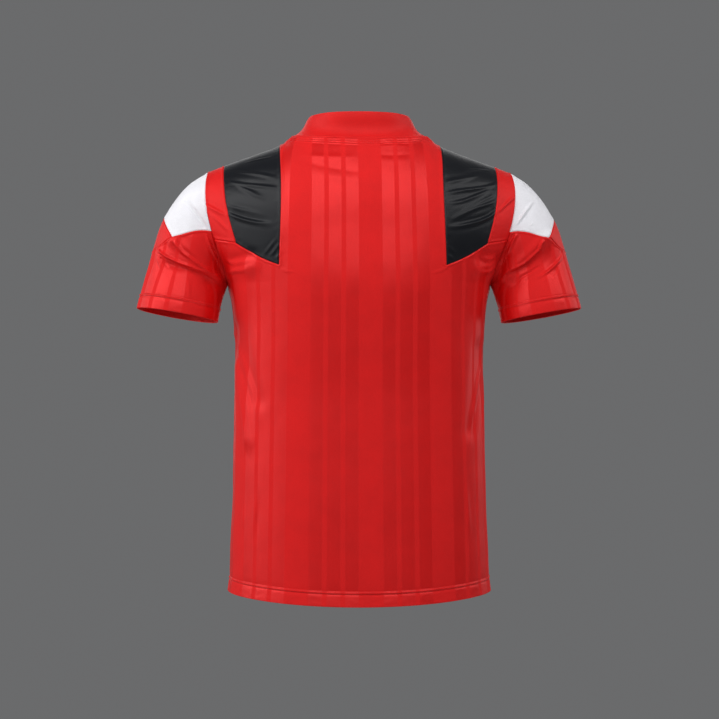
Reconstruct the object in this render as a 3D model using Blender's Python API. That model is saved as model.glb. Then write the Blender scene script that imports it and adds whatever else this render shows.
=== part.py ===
"""Football jersey, filled out as it is worn: thirteen cut pieces in one hollow, open garment.

The garment is one skin, worked out from short tables of its sizes, and each cut piece is
the part of that skin between its seams, given a wall. +X is the wearer's right, +Y the
wearer's front, +Z up. The origin is where the wearer holds it, at the base of the neck
between the shoulders. All sizes are in metres.
"""

from math import asin, cos, exp, pi, radians, sin

import bpy
from mathutils import Vector

# ---------------------------------------------------------------- driving dimensions
WALL = 0.002
SEAM_GAP = 0.0003
MAX_CORNER_STRETCH = 1.5    # most that the wall's inner point moves at a sharp corner
SHARP_ANGLE = 50.0          # degrees between faces past which an edge is shaded sharp

BACK, FRONT = -1, 1
LEFT, RIGHT = -1, 1

NECK_HALF_WIDTH = 0.101
BODY_ROUNDNESS = 2.4        # power of the rounded-square body ring
ROW_LIFT = 1.5              # above 1, the rows flatten sooner from the shoulder down
BACK_RISE = 0.150           # height over which the back falls away from the shoulder line
FRONT_RISE = 0.240          # the same on the chest, which slopes more slowly
CREST_POWER = 0.5           # a round crest along the line of the shoulder
THROAT_POWER = 0.3          # added to it at the middle of the chest, where the slope is flatter
COLLAR_HOLLOW = 0.0065      # how far the collar band curves in between its edges

HEM_SIDE_HEIGHT = -0.692
HEM_DROP = 0.013            # how much lower the hem is at its middle than at its sides

ARMHOLE_TOP = (0.234, -0.050)
ARMHOLE_BOTTOM = (0.2035, -0.222)
ARMHOLE_HALF_DEPTH = 0.055
ARMHOLE_BULGE = 0.010       # how far the armhole seam bows out towards the sleeve
ARMHOLE_BULGE_LEAN = 0.6    # how much of that bow lies nearer the top than the armpit

SLEEVE_BACK_SET = 0.012     # how far back the cuff is set from the armhole
CUFF_BACK_LIFT = 0.004      # how much higher the cuff is at its back than at its front

# Half width of the body at each height: height, half width.
BODY_WIDTH = (
    (-0.720, 0.1990), (-0.690, 0.1998), (-0.620, 0.1978), (-0.550, 0.1950),
    (-0.400, 0.1918), (-0.350, 0.1910), (-0.290, 0.1925), (-0.250, 0.1965),
    (-0.222, 0.2035),
)
# Depth of the body at each height: height, behind the side seam, in front of it.
BODY_DEPTH = (
    (-0.720, 0.125, 0.119), (-0.550, 0.118, 0.121), (-0.400, 0.114, 0.122),
    (-0.300, 0.119, 0.124), (-0.200, 0.121, 0.123), (-0.100, 0.115, 0.117),
    (0.030, 0.110, 0.105),
)
# The line of the shoulder: distance from the middle, height. Inside the neck it is the
# line that the shoulder would follow if the neck were closed.
SHOULDER = (
    (0.000, 0.0300), (0.050, 0.0260), (0.080, 0.0175), (0.101, 0.0075),
    (0.121, -0.0066), (0.160, -0.0225), (0.205, -0.0390), (0.234, -0.0500),
)
# The neck seam: distance from the middle, height at the back, height at the front.
NECK_SEAM = (
    (0.0000, -0.0030, -0.080), (0.0300, -0.0026, -0.075), (0.0550, -0.0014, -0.060),
    (0.0800, 0.0008, -0.036), (0.0920, 0.0030, -0.016), (0.1005, 0.0069, 0.0015),
    (0.1010, 0.0075, 0.0075),
)
# The collar's top edge, round from the middle of the back: share of the half turn,
# distance from the middle, place towards the front, height.
COLLAR_TOP = (
    (0.00, 0.000, -0.062, 0.0378), (0.20, 0.044, -0.054, 0.0374), (0.36, 0.0690, -0.031, 0.0362),
    (0.50, 0.0780, 0.000, 0.0335), (0.64, 0.072, 0.032, 0.0160), (0.80, 0.048, 0.060, -0.0165),
    (1.00, 0.000, 0.071, -0.0370),
)
# Seams of the black shoulder panel: height, distance from the middle.
PANEL_INNER_SEAM = (
    (-0.196, 0.1250), (-0.100, 0.1225), (-0.030, 0.1240), (-0.0066, 0.1210),
)
PANEL_OUTER_SEAM = (
    (-0.162, 0.1905), (-0.130, 0.2000), (-0.100, 0.2060), (-0.057, 0.2090), (-0.039, 0.2060),
)
PANEL_TIP = (0.125, -0.196)
PANEL_OUTER_CORNER = (0.1905, -0.162)
# The sleeve from armhole to cuff: share of the way, its top edge out and up, its under
# edge out and up, half its depth.
SLEEVE = (
    (0.000, 0.234, -0.050, 0.2035, -0.222, 0.0550),
    (0.139, 0.262, -0.069, 0.2045, -0.226, 0.0560),
    (0.291, 0.286, -0.097, 0.2060, -0.231, 0.0575),
    (0.452, 0.305, -0.131, 0.2085, -0.238, 0.0580),
    (0.608, 0.317, -0.167, 0.2115, -0.247, 0.0575),
    (0.788, 0.329, -0.209, 0.2155, -0.261, 0.0560),
    (1.000, 0.341, -0.259, 0.2197, -0.280, 0.0545),
)
# Seams across the sleeve: angle round it from its top edge, share of the way to the cuff.
BLOCK_OUTER_SEAM = ((0.0, 0.402), (56.9, 0.444))
SLEEVE_CROSS_SEAM = (
    (0.0, 0.630), (29.8, 0.590), (42.3, 0.533), (56.9, 0.444), (70.5, 0.339), (84.0, 0.176),
    (95.0, 0.000),
)

# The largest folds, as they lie when the garment is seen square on: side, start out and
# up, end out and up, half width, how far the cloth stands out from its smooth form.
FOLDS = (
    (BACK, 0.287, -0.151, 0.214, -0.214, 0.0100, 0.0050),
    (BACK, 0.264, -0.158, 0.224, -0.178, 0.0150, -0.0075),
    (BACK, -0.284, -0.158, -0.214, -0.216, 0.0090, 0.0040),
    (BACK, -0.305, -0.177, -0.216, -0.214, 0.0090, 0.0035),
    (BACK, -0.260, -0.159, -0.226, -0.180, 0.0150, -0.0075),
    (BACK, -0.194, -0.188, -0.168, -0.182, 0.0100, -0.0030),
    (BACK, -0.190, -0.201, -0.166, -0.197, 0.0110, 0.0035),
    (BACK, 0.207, -0.182, 0.184, -0.183, 0.0100, -0.0035),
    (BACK, 0.200, -0.200, 0.176, -0.202, 0.0120, 0.0030),
    (BACK, -0.190, -0.290, -0.158, -0.400, 0.0110, -0.0040),
    (BACK, -0.188, -0.345, -0.172, -0.460, 0.0110, 0.0035),
    (BACK, 0.181, -0.320, 0.165, -0.445, 0.0110, -0.0040),
    (FRONT, 0.283, -0.165, 0.213, -0.212, 0.0100, 0.0035),
    (FRONT, -0.296, -0.170, -0.215, -0.214, 0.0100, 0.0040),
    (FRONT, 0.196, -0.196, 0.160, -0.186, 0.0120, -0.0035),
    (FRONT, -0.198, -0.190, -0.166, -0.198, 0.0110, 0.0030),
    (FRONT, 0.186, -0.300, 0.160, -0.430, 0.0120, -0.0040),
    (FRONT, -0.180, -0.340, -0.166, -0.470, 0.0120, 0.0035),
)
FOLD_FADE = 0.020           # folds fade over this depth towards the side of the garment

# Rows of the skin. Each row above the armpit meets the armhole at an angle from its top.
LOWER_ROWS = 12
LOWER_ROW_CROWDING = 1.4    # above 1, the rows below the armpit lie closer towards it
UNDERARM_ANGLES = (180.0, 157.0, 137.0, 119.0, 103.0)
SHOULDER_ANGLES = (95.0, 84.0, 70.5, 56.9, 42.3, 29.8, 14.0, 0.0)
ROW_ANGLES = UNDERARM_ANGLES + SHOULDER_ANGLES
PANEL_ROW = len(UNDERARM_ANGLES) - 1      # the row along the foot of the shoulder panels
RIDGE_ROW = len(ROW_ANGLES) - 1           # the row along the line of the shoulder
FRONT_SEAM_ROW = RIDGE_ROW - 1            # the shoulder seam, just in front of that line

# Columns from the middle to the side: the centre piece, the black panel, the strip.
CENTRE_COLUMNS, PANEL_COLUMNS, STRIP_COLUMNS = 8, 5, 3
NECK_COLUMN = CENTRE_COLUMNS - 1
PANEL_COLUMN = CENTRE_COLUMNS
STRIP_COLUMN = CENTRE_COLUMNS + PANEL_COLUMNS
SIDE_COLUMN = STRIP_COLUMN + STRIP_COLUMNS
FRONT_NECK_POINT = 0.1005   # where the front shoulder seam meets the neck seam

SLEEVE_BLOCK_ROWS, SLEEVE_TOP_ROWS, SLEEVE_ROWS = 3, 2, 8
COLLAR_ROWS = 4

# Colours as the shader takes them: red, green, blue, roughness.
FINISHES = {
    "red": ((0.62, 0.022, 0.022), 0.55),
    "black": ((0.014, 0.015, 0.018), 0.5),
    "white": ((0.83, 0.82, 0.85), 0.6),
}


# ------------------------------------------------------------------------ arithmetic
def read(table, place, column=1):
    """A column of a table at a place, on a smooth curve through the table's rows."""
    place = min(max(place, table[0][0]), table[-1][0])
    upper = next(i for i in range(1, len(table)) if place <= table[i][0])
    lower = upper - 1

    def slope(row):
        before, after = table[max(row - 1, 0)], table[min(row + 1, len(table) - 1)]
        return (after[column] - before[column]) / (after[0] - before[0])

    width = table[upper][0] - table[lower][0]
    t = (place - table[lower][0]) / width
    return (
        table[lower][column] * (1 + 2 * t) * (1 - t) ** 2
        + table[upper][column] * t * t * (3 - 2 * t)
        + width * (slope(lower) * t * (1 - t) ** 2 - slope(upper) * t * t * (1 - t))
    )


def mix(a, b, share):
    return a + (b - a) * share


# ------------------------------------------------------------------ form of the body
def depth(side, height):
    return read(BODY_DEPTH, height, 1 if side == BACK else 2)


def rounding(side, x, height):
    """Share of the full depth that the cloth has reached below the line of the shoulder."""
    rise = BACK_RISE if side == BACK else FRONT_RISE
    fall = min(max((read(SHOULDER, x) - height) / rise, 0.0), 1.0)
    towards_neck = max(0.0, 1 - (x / NECK_HALF_WIDTH) ** 2)
    power = CREST_POWER + (THROAT_POWER * towards_neck if side == FRONT else 0.0)
    return (1 - (1 - fall) ** 2) ** power


def top_height(side, x):
    """Height of the body's upper edge: the neck seam, then the line of the shoulder."""
    if x < NECK_HALF_WIDTH:
        return read(NECK_SEAM, x, 1 if side == BACK else 2)
    return read(SHOULDER, x)


def armhole_bulge(angle):
    return ARMHOLE_BULGE * sin(angle) ** 2 * (1 + ARMHOLE_BULGE_LEAN * cos(angle))


def armhole(angle):
    """A point of the armhole seam, by its angle from the top: out, depth, height."""
    (top_x, top_z), (low_x, low_z) = ARMHOLE_TOP, ARMHOLE_BOTTOM
    share = (1 - cos(angle)) / 2
    return (
        mix(top_x, low_x, share) + armhole_bulge(angle),
        ARMHOLE_HALF_DEPTH * sin(angle),
        mix(top_z, low_z, share),
    )


def row_shape(side, angle):
    """The row that meets the armhole at an angle: its end, its full half width and its
    end's place round the body ring."""
    end_x, end_depth, end_z = armhole(max(angle, radians(1.0)))
    full = depth(side, end_z) * rounding(side, end_x, end_z)
    reach = (1 - min(end_depth / full, 0.999) ** BODY_ROUNDNESS) ** (1 / BODY_ROUNDNESS)
    half_width = end_x / reach
    end_turn = asin(min(reach ** (BODY_ROUNDNESS / 2), 1.0))
    return armhole(angle), half_width, end_turn


def body_point(side, angle, share):
    """A point of the body above the armpit. The share runs from the middle to the armhole."""
    (end_x, _, end_z), half_width, end_turn = row_shape(side, angle)
    turn = share * end_turn
    x = half_width * sin(turn) ** (2 / BODY_ROUNDNESS)
    lift = (1 - angle / pi) ** ROW_LIFT
    height = end_z + lift * (top_height(side, x) - top_height(side, end_x))
    y = depth(side, height) * rounding(side, x, height) * cos(turn) ** (2 / BODY_ROUNDNESS)
    return Vector((x, side * y, height))


def share_at(side, angle, x):
    """The share of a row at which it is a given distance from the middle."""
    _, half_width, end_turn = row_shape(side, angle)
    return asin(min((x / half_width) ** (BODY_ROUNDNESS / 2), 1.0)) / end_turn


def angle_at(side, x, height):
    """The armhole angle of the row that passes through a place, found by halving."""
    low, high = 0.0, pi
    for _ in range(40):
        middle = (low + high) / 2
        share = min(share_at(side, middle, x), 1.0)
        if body_point(side, middle, share).z > height:
            low = middle
        else:
            high = middle
    return low


def column_share(side, column, angle):
    """Where a column crosses the row that meets the armhole at an angle."""
    if column == SIDE_COLUMN:
        return 1.0
    height = armhole(angle)[2]
    inner_x = read(PANEL_INNER_SEAM, height)
    neck_share = NECK_HALF_WIDTH / PANEL_INNER_SEAM[-1][1]
    outer_x = read(PANEL_OUTER_SEAM, height)
    if column < CENTRE_COLUMNS:
        return share_at(side, angle, inner_x * neck_share * column / NECK_COLUMN)
    inner, outer = share_at(side, angle, inner_x), share_at(side, angle, outer_x)
    if column <= STRIP_COLUMN:
        return mix(inner, outer, (column - PANEL_COLUMN) / PANEL_COLUMNS)
    return mix(outer, 1.0, (column - STRIP_COLUMN) / STRIP_COLUMNS)


def foot_angles():
    """For each column, the angle of the row along the foot of the shoulder panels."""
    corners = [
        (PANEL_COLUMN, angle_at(BACK, *PANEL_TIP)),
        (STRIP_COLUMN, angle_at(BACK, *PANEL_OUTER_CORNER)),
        (SIDE_COLUMN, radians(UNDERARM_ANGLES[-1])),
    ]
    angles = [corners[0][1]] * PANEL_COLUMN
    for (start, first), (end, last) in zip(corners, corners[1:]):
        angles += [mix(first, last, i / (end - start)) for i in range(end - start)]
    return angles + [corners[-1][1]]


def row_angle(side, column, row, foot):
    """The armhole angle of a row at a column. Rows spread evenly below and above the foot
    of the panels, and at the front they end on the neck seam."""
    at_side = radians(ROW_ANGLES[row])
    foot_at_side = radians(ROW_ANGLES[PANEL_ROW])
    if row <= PANEL_ROW:
        return pi - (pi - at_side) / (pi - foot_at_side) * (pi - foot[column])
    angle = at_side / foot_at_side * foot[column]
    if side == FRONT and column <= NECK_COLUMN:
        last = radians(ROW_ANGLES[FRONT_SEAM_ROW])
        angle = (at_side - last) / (foot_at_side - last) * foot[column]
    return max(angle, 0.0)


def ridge_points():
    """Points of the line of the shoulder, where back and front meet, from the neck out."""
    points = []
    for column in range(NECK_COLUMN, SIDE_COLUMN + 1):
        point = body_point(BACK, 0.0, column_share(BACK, column, 0.0))
        points.append(Vector((point.x, 0.0, point.z)))
    return points


def body_grid(side):
    """Points of one quarter of the body: a list of rows from the hem up, each from the
    middle to the side. A row in front of the neck seam has no point there."""
    foot = foot_angles()
    armpit_row = [body_point(side, pi, column_share(side, i, pi)) for i in range(SIDE_COLUMN + 1)]
    armpit_z, armpit_width = armpit_row[-1].z, armpit_row[-1].x
    grid = []
    for row in range(LOWER_ROWS):
        share = 1 - (1 - row / LOWER_ROWS) ** LOWER_ROW_CROWDING
        points = []
        for point in armpit_row:
            across = point.x / armpit_width
            hem_z = HEM_SIDE_HEIGHT - HEM_DROP * (1 - across ** 2)
            z = mix(hem_z, armpit_z, share)
            ring = max(0.0, 1 - across ** BODY_ROUNDNESS) ** (1 / BODY_ROUNDNESS)
            points.append(Vector((across * read(BODY_WIDTH, z), side * depth(side, z) * ring, z)))
        grid.append(points)
    for row in range(RIDGE_ROW + 1):
        points = []
        for column in range(SIDE_COLUMN + 1):
            angle = row_angle(side, column, row, foot)
            share = column_share(side, column, angle)
            if side == FRONT and column == NECK_COLUMN and row == FRONT_SEAM_ROW:
                share = share_at(side, angle, FRONT_NECK_POINT)
            points.append(body_point(side, angle, share))
        if row == RIDGE_ROW:
            points[NECK_COLUMN:] = ridge_points()
            if side == FRONT:
                points[:NECK_COLUMN] = [None] * NECK_COLUMN
        grid.append(points)
    return grid


# ---------------------------------------------------------------- form of the sleeve
def sleeve_point(side, angle, share):
    """A point of the right sleeve, by its angle from the top edge and its share of the
    way from armhole to cuff."""
    top_x, top_z, under_x, under_z, half_depth = (read(SLEEVE, share, c) for c in range(1, 6))
    down = (1 - cos(angle)) / 2
    bulge = armhole_bulge(angle) * (1 - share) ** 2
    lift = -side * CUFF_BACK_LIFT * share * sin(angle)
    return Vector((
        mix(top_x, under_x, down) + bulge,
        side * half_depth * sin(angle) - SLEEVE_BACK_SET * share,
        mix(top_z, under_z, down) + lift,
    ))


def cross_seam(degrees):
    return read(SLEEVE_CROSS_SEAM, degrees) if degrees < SLEEVE_CROSS_SEAM[-1][0] else 0.0


def block_seam(degrees):
    return min(read(BLOCK_OUTER_SEAM, degrees), cross_seam(degrees))


def sleeve_grid():
    """Points of the right sleeve: a list of rings from armhole to cuff, each from under
    the arm up the back, over the top and down the front."""
    turns = [(BACK, a) for a in ROW_ANGLES] + [(FRONT, a) for a in ROW_ANGLES[-2:0:-1]]
    grid = []
    for ring in range(SLEEVE_BLOCK_ROWS + SLEEVE_TOP_ROWS + SLEEVE_ROWS + 1):
        points = []
        for side, degrees in turns:
            block, cross = block_seam(degrees), cross_seam(degrees)
            if ring <= SLEEVE_BLOCK_ROWS:
                share = block * ring / SLEEVE_BLOCK_ROWS
            elif ring <= SLEEVE_BLOCK_ROWS + SLEEVE_TOP_ROWS:
                share = mix(block, cross, (ring - SLEEVE_BLOCK_ROWS) / SLEEVE_TOP_ROWS)
            else:
                done = ring - SLEEVE_BLOCK_ROWS - SLEEVE_TOP_ROWS
                share = mix(cross, 1.0, done / SLEEVE_ROWS)
            points.append(sleeve_point(side, radians(degrees), share))
        grid.append(points)
    return grid


# --------------------------------------------------------------- form of the folds
def fold_height(point):
    """How far the cloth stands out at a point of the smooth form, because of its folds."""
    place = Vector((point.x, point.z))
    total = 0.0
    for side, start_x, start_z, end_x, end_z, half_width, height in FOLDS:
        start, end = Vector((start_x, start_z)), Vector((end_x, end_z))
        along = end - start
        share = min(max((place - start).dot(along) / along.length_squared, 0.0), 1.0)
        gap = (place - start - along * share).length
        fade = min(max(side * point.y / FOLD_FADE, 0.0), 1.0)
        total += height * exp(-(gap / half_width) ** 2) * fade
    return total


# -------------------------------------------------------------------- the whole skin
class Skin:
    """The garment's outer skin: points shared by the pieces that meet, and faces that
    each belong to one piece."""

    def __init__(self):
        self.points = []
        self.index = {}
        self.faces = {}

    def add_point(self, point):
        key = tuple(round(value, 5) + 0.0 for value in point)
        if key not in self.index:
            self.index[key] = len(self.points)
            self.points.append(Vector(point))
        return self.index[key]

    def add_face(self, piece, corners):
        """Adds a face whose corners run anticlockwise seen from outside."""
        ring = []
        for corner in corners:
            number = self.add_point(corner)
            if number not in ring:
                ring.append(number)
        if len(ring) > 2:
            self.faces.setdefault(piece, []).append(ring)

    def normals(self):
        """The mean direction of the faces round each point, whatever piece they are in,
        and how much further than the wall a corner's inner point lies."""
        totals = [Vector() for _ in self.points]
        around = [[] for _ in self.points]
        for rings in self.faces.values():
            for ring in rings:
                normal = Vector()
                for a, b in zip(ring, ring[1:] + ring[:1]):
                    normal += self.points[a].cross(self.points[b])
                normal.normalize()
                for k, number in enumerate(ring):
                    before = (self.points[ring[k - 1]] - self.points[number]).normalized()
                    after = self.points[ring[(k + 1) % len(ring)]] - self.points[number]
                    totals[number] += normal * before.angle(after.normalized(), 0.0)
                    around[number].append(normal)
        normals = [total.normalized() for total in totals]
        stretch = [
            min(1 / max(min(normal.dot(face) for face in faces), 0.1), MAX_CORNER_STRETCH)
            if faces else 1.0
            for normal, faces in zip(normals, around)
        ]
        return normals, stretch

    def fold(self):
        """Moves each point out or in by the height of the folds there."""
        normals, _ = self.normals()
        self.points = [p + n * fold_height(p) for p, n in zip(self.points, normals)]


def piece_name(stem, hand):
    return f"{stem}_{'left' if hand == LEFT else 'right'}"


def body_piece(side, hand, row, column):
    """The piece that a cell of the body's grid belongs to."""
    upper = row - LOWER_ROWS
    if side == FRONT and upper < FRONT_SEAM_ROW:
        return "front"
    if column < PANEL_COLUMN or (side == BACK and upper < PANEL_ROW):
        return "back"
    stem = "shoulder_panel" if column < STRIP_COLUMN else "shoulder_strip"
    return piece_name(stem, hand)


def add_grid(skin, grid, hand, flip, name_cell):
    """Adds a grid of points to the skin, mirrored for the left hand."""
    for row in range(len(grid) - 1):
        for column in range(len(grid[row]) - 1):
            corners = [
                grid[row][column], grid[row][column + 1],
                grid[row + 1][column + 1], grid[row + 1][column],
            ]
            if None in corners:
                continue
            corners = [Vector((hand * p.x, p.y, p.z)) for p in corners]
            if flip != (hand == LEFT):
                corners.reverse()
            skin.add_face(name_cell(row, column), corners)


def add_body(skin):
    for side in (BACK, FRONT):
        grid = body_grid(side)
        for hand in (LEFT, RIGHT):
            add_grid(skin, grid, hand, side == FRONT,
                     lambda row, column, s=side, h=hand: body_piece(s, h, row, column))


def add_sleeves(skin):
    grid = sleeve_grid()
    closed = [ring + ring[:1] for ring in grid]

    def stem(ring):
        if ring < SLEEVE_BLOCK_ROWS:
            return "sleeve_block"
        return "sleeve_top" if ring < SLEEVE_BLOCK_ROWS + SLEEVE_TOP_ROWS else "sleeve"

    for hand in (LEFT, RIGHT):
        add_grid(skin, closed, hand, True,
                 lambda ring, column, h=hand: piece_name(stem(ring), h))


def neck_ring():
    """The neck seam from the middle of the back round the right to the middle front."""
    back, front = body_grid(BACK), body_grid(FRONT)
    seam = [back[-1][i] for i in range(NECK_COLUMN + 1)]
    return seam + [front[-2][i] for i in range(NECK_COLUMN, -1, -1)]


def add_collar(skin):
    """The collar band stands on the neck seam and leans in to its own top edge."""
    seam = neck_ring()
    grid = []
    for row in range(COLLAR_ROWS + 1):
        share = row / COLLAR_ROWS
        points = []
        for k, base in enumerate(seam):
            round_neck = k / (len(seam) - 1)
            top = Vector([read(COLLAR_TOP, round_neck, c) for c in (1, 2, 3)])
            point = base.lerp(top, share)
            inward = Vector((-point.x, -point.y, 0.0)).normalized()
            points.append(point + inward * COLLAR_HOLLOW * sin(pi * share) * (1 - share))
        grid.append(points)
    for hand in (LEFT, RIGHT):
        add_grid(skin, grid, hand, False, lambda row, column: "collar")


# ------------------------------------------------------------------ pieces as solids
def border_shift(rings, points, normals):
    """How far each border point of a piece moves back from its seam."""
    edges = {}
    for ring in rings:
        for a, b in zip(ring, ring[1:] + ring[:1]):
            edges[(a, b)] = True
    border = [(a, b) for a, b in edges if (b, a) not in edges]
    inward = {}
    for a, b in border:
        along = points[b] - points[a]
        for number in (a, b):
            inward.setdefault(number, []).append(normals[number].cross(along).normalized())
    shift = {}
    for number, directions in inward.items():
        total = sum(directions, Vector())
        shift[number] = total * (SEAM_GAP / 2 * len(directions) / max(total.length_squared, 0.5))
    return border, shift


def make_solid(name, rings, skin, normals, stretch):
    """A closed wall on a piece's part of the skin: outer faces, inner faces and edges."""
    border, shift = border_shift(rings, skin.points, normals)
    used = sorted({number for ring in rings for number in ring})
    place = {number: k for k, number in enumerate(used)}
    outer = [skin.points[n] + shift.get(n, Vector()) for n in used]
    inner = [p - normals[n] * WALL * stretch[n] for p, n in zip(outer, used)]
    count = len(used)
    faces = [[place[n] for n in ring] for ring in rings]
    faces += [[place[n] + count for n in reversed(ring)] for ring in rings]
    for a, b in border:
        # Both pieces at a seam split their edge walls along the same diagonal.
        near, far, far_inner, near_inner = place[b], place[a], place[a] + count, place[b] + count
        if a < b:
            faces += [[near, far, near_inner], [far, far_inner, near_inner]]
        else:
            faces += [[near, far, far_inner], [near, far_inner, near_inner]]
    mesh = bpy.data.meshes.new(name)
    mesh.from_pydata(outer + inner, [], faces)
    mesh.shade_smooth()
    mesh.set_sharp_from_angle(angle=radians(SHARP_ANGLE))
    solid = bpy.data.objects.new(name, mesh)
    bpy.context.scene.collection.objects.link(solid)
    return solid


def finish_of(name):
    if name.startswith("shoulder_panel"):
        return "black"
    return "white" if name.startswith("sleeve_block") else "red"


def make_material(name):
    """A plain cloth finish for one piece."""
    colour, roughness = FINISHES[finish_of(name)]
    material = bpy.data.materials.new(f"{name}_cloth")
    material.use_nodes = True
    shader = material.node_tree.nodes["Principled BSDF"]
    shader.inputs["Base Color"].default_value = (*colour, 1.0)
    shader.inputs["Roughness"].default_value = roughness
    shader.inputs["Metallic"].default_value = 0.0
    return material


def clear_scene():
    for item in list(bpy.data.objects):
        bpy.data.objects.remove(item, do_unlink=True)


def main():
    clear_scene()
    skin = Skin()
    add_body(skin)
    add_sleeves(skin)
    add_collar(skin)
    skin.fold()
    normals, stretch = skin.normals()
    for name, rings in skin.faces.items():
        solid = make_solid(name, rings, skin, normals, stretch)
        solid.data.materials.append(make_material(name))


main()
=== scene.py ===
"""Football jersey, filled out as it is worn, seen from the back in a plain pale studio.

The jersey is one skin of knitted cloth, worked out from short tables of its sizes. The skin
takes its folds, seams and turned hems as small moves in and out, and each cut piece is a
thin shell on its own part of it, in its own knit. +X is the wearer's right, +Y the wearer's
front, +Z up. Sizes are in metres, and those of folds and stitches in millimetres.
"""

from functools import lru_cache
from math import cos, pi, radians, sin

import bpy
import numpy as np
from bpy.props import FloatProperty, FloatVectorProperty, PointerProperty
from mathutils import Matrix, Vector, noise
from mathutils.kdtree import KDTree


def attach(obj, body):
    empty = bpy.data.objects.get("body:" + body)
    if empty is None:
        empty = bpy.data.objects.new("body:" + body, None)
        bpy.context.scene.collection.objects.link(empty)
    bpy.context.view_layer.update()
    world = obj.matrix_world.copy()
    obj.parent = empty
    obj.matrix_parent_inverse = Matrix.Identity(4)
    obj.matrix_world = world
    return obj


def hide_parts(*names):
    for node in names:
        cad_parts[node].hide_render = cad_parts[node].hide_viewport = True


bl_info = {
    "name": "Football Jersey",
    "version": (1, 0, 0),
    "blender": (4, 5, 0),
    "location": "View3D > Sidebar > Jersey",
    "description": "Builds a worn football jersey around its packed frame",
    "category": "Object",
}

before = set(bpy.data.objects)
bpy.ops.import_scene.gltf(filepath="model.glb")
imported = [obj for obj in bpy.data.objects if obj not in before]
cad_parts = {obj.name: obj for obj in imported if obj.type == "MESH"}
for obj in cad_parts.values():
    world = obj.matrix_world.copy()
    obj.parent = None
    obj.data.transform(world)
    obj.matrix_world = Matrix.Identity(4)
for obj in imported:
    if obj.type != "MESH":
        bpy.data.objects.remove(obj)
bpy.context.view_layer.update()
MM = 0.001

BACK, FRONT = -1, 1
LEFT, RIGHT = -1, 1
HANDS = {LEFT: "left", RIGHT: "right"}

# ------------------------------------------------------------------ form of the jersey
NECK_HALF_WIDTH = 0.101
BODY_ROUNDNESS = 2.4        # power of the rounded-square body ring
FULLEST = 0.999             # share of the depth that an armhole's point may reach at most
FIRST_ANGLE = radians(1.0)  # rows nearer the top of the armhole take the shape of this one
HALVINGS = 40               # steps in which a row is searched for
ROW_LIFT = 1.5              # above 1, the rows flatten sooner from the shoulder down
BACK_RISE = 0.150           # height over which the back falls away from the shoulder line
FRONT_RISE = 0.240          # the same on the chest, which slopes more slowly
CREST_POWER = 0.5           # a round crest along the line of the shoulder
THROAT_POWER = 0.3          # added to it at the middle of the chest, where the slope is flatter
COLLAR_HOLLOW = 0.0085      # how far the collar band curves in between its edges

FLARE, FLARE_START = 0.125, -0.10   # share by which the stripes spread for each metre down

HEM_SIDE_HEIGHT = -0.692
HEM_DROP = 0.013            # how much lower the hem is at its middle than at its sides

ARMHOLE_TOP = (0.234, -0.050)
ARMHOLE_BOTTOM = (0.2035, -0.222)
ARMHOLE_HALF_DEPTH = 0.055
ARMHOLE_BULGE = 0.010       # how far the armhole seam bows out towards the sleeve
ARMHOLE_BULGE_LEAN = 0.6    # how much of that bow lies nearer the top than the armpit

SLEEVE_BACK_SET = 0.012     # how far back the cuff is set from the armhole
CUFF_BACK_LIFT = 0.004      # how much higher the cuff is at its back than at its front

# Half width of the body at each height: height, half width.
BODY_WIDTH = (
    (-0.720, 0.1990), (-0.690, 0.1998), (-0.620, 0.1978), (-0.550, 0.1950),
    (-0.400, 0.1918), (-0.350, 0.1910), (-0.290, 0.1925), (-0.250, 0.1965),
    (-0.222, 0.2035),
)
# Depth of the body at each height: height, behind the side seam, in front of it.
BODY_DEPTH = (
    (-0.720, 0.125, 0.119), (-0.550, 0.118, 0.121), (-0.400, 0.114, 0.122),
    (-0.300, 0.119, 0.124), (-0.200, 0.121, 0.123), (-0.100, 0.115, 0.117),
    (0.030, 0.110, 0.105),
)
# The line of the shoulder: distance from the middle, height. Inside the neck it is the
# line that the shoulder would follow if the neck were closed. A row past the middle, here
# and below, keeps the curve level where the two halves meet.
SHOULDER = (
    (-0.050, 0.0260), (0.000, 0.0300), (0.050, 0.0260), (0.080, 0.0175),
    (0.101, 0.0075), (0.121, -0.0066), (0.160, -0.0225), (0.205, -0.0390), (0.234, -0.0500),
)
# The neck seam: distance from the middle, height at the back, height at the front.
NECK_SEAM = (
    (-0.0300, -0.0026, -0.075), (0.0000, -0.0030, -0.080), (0.0300, -0.0026, -0.075),
    (0.0550, -0.0014, -0.060), (0.0800, 0.0008, -0.036), (0.0920, 0.0030, -0.016),
    (0.1005, 0.0069, 0.0015), (0.1010, 0.0075, 0.0075),
)
# The collar's top edge, round from the middle of the back: share of the half turn,
# distance from the middle, place towards the front, height.
COLLAR_TOP = (
    (-0.20, -0.044, -0.054, 0.0374), (0.00, 0.000, -0.062, 0.0378), (0.20, 0.044, -0.054, 0.0374),
    (0.36, 0.069, -0.031, 0.0362), (0.50, 0.078, 0.000, 0.0335), (0.64, 0.072, 0.032, 0.0160),
    (0.80, 0.048, 0.060, -0.0165), (1.00, 0.000, 0.071, -0.0370), (1.20, -0.048, 0.060, -0.0165),
)
COLLAR_CORNER = (7 / 15, 8 / 15)    # shares of the half turn between which it passes the shoulder
# Seams of the black shoulder panel: height, distance from the middle.
PANEL_INNER_SEAM = (
    (-0.196, 0.1250), (-0.100, 0.1225), (-0.030, 0.1240), (-0.0066, 0.1210),
)
PANEL_OUTER_SEAM = (
    (-0.162, 0.1905), (-0.130, 0.2000), (-0.100, 0.2060), (-0.057, 0.2090), (-0.039, 0.2060),
)
PANEL_TIP = (0.125, -0.196)
PANEL_OUTER_CORNER = (0.1905, -0.162)
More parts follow.
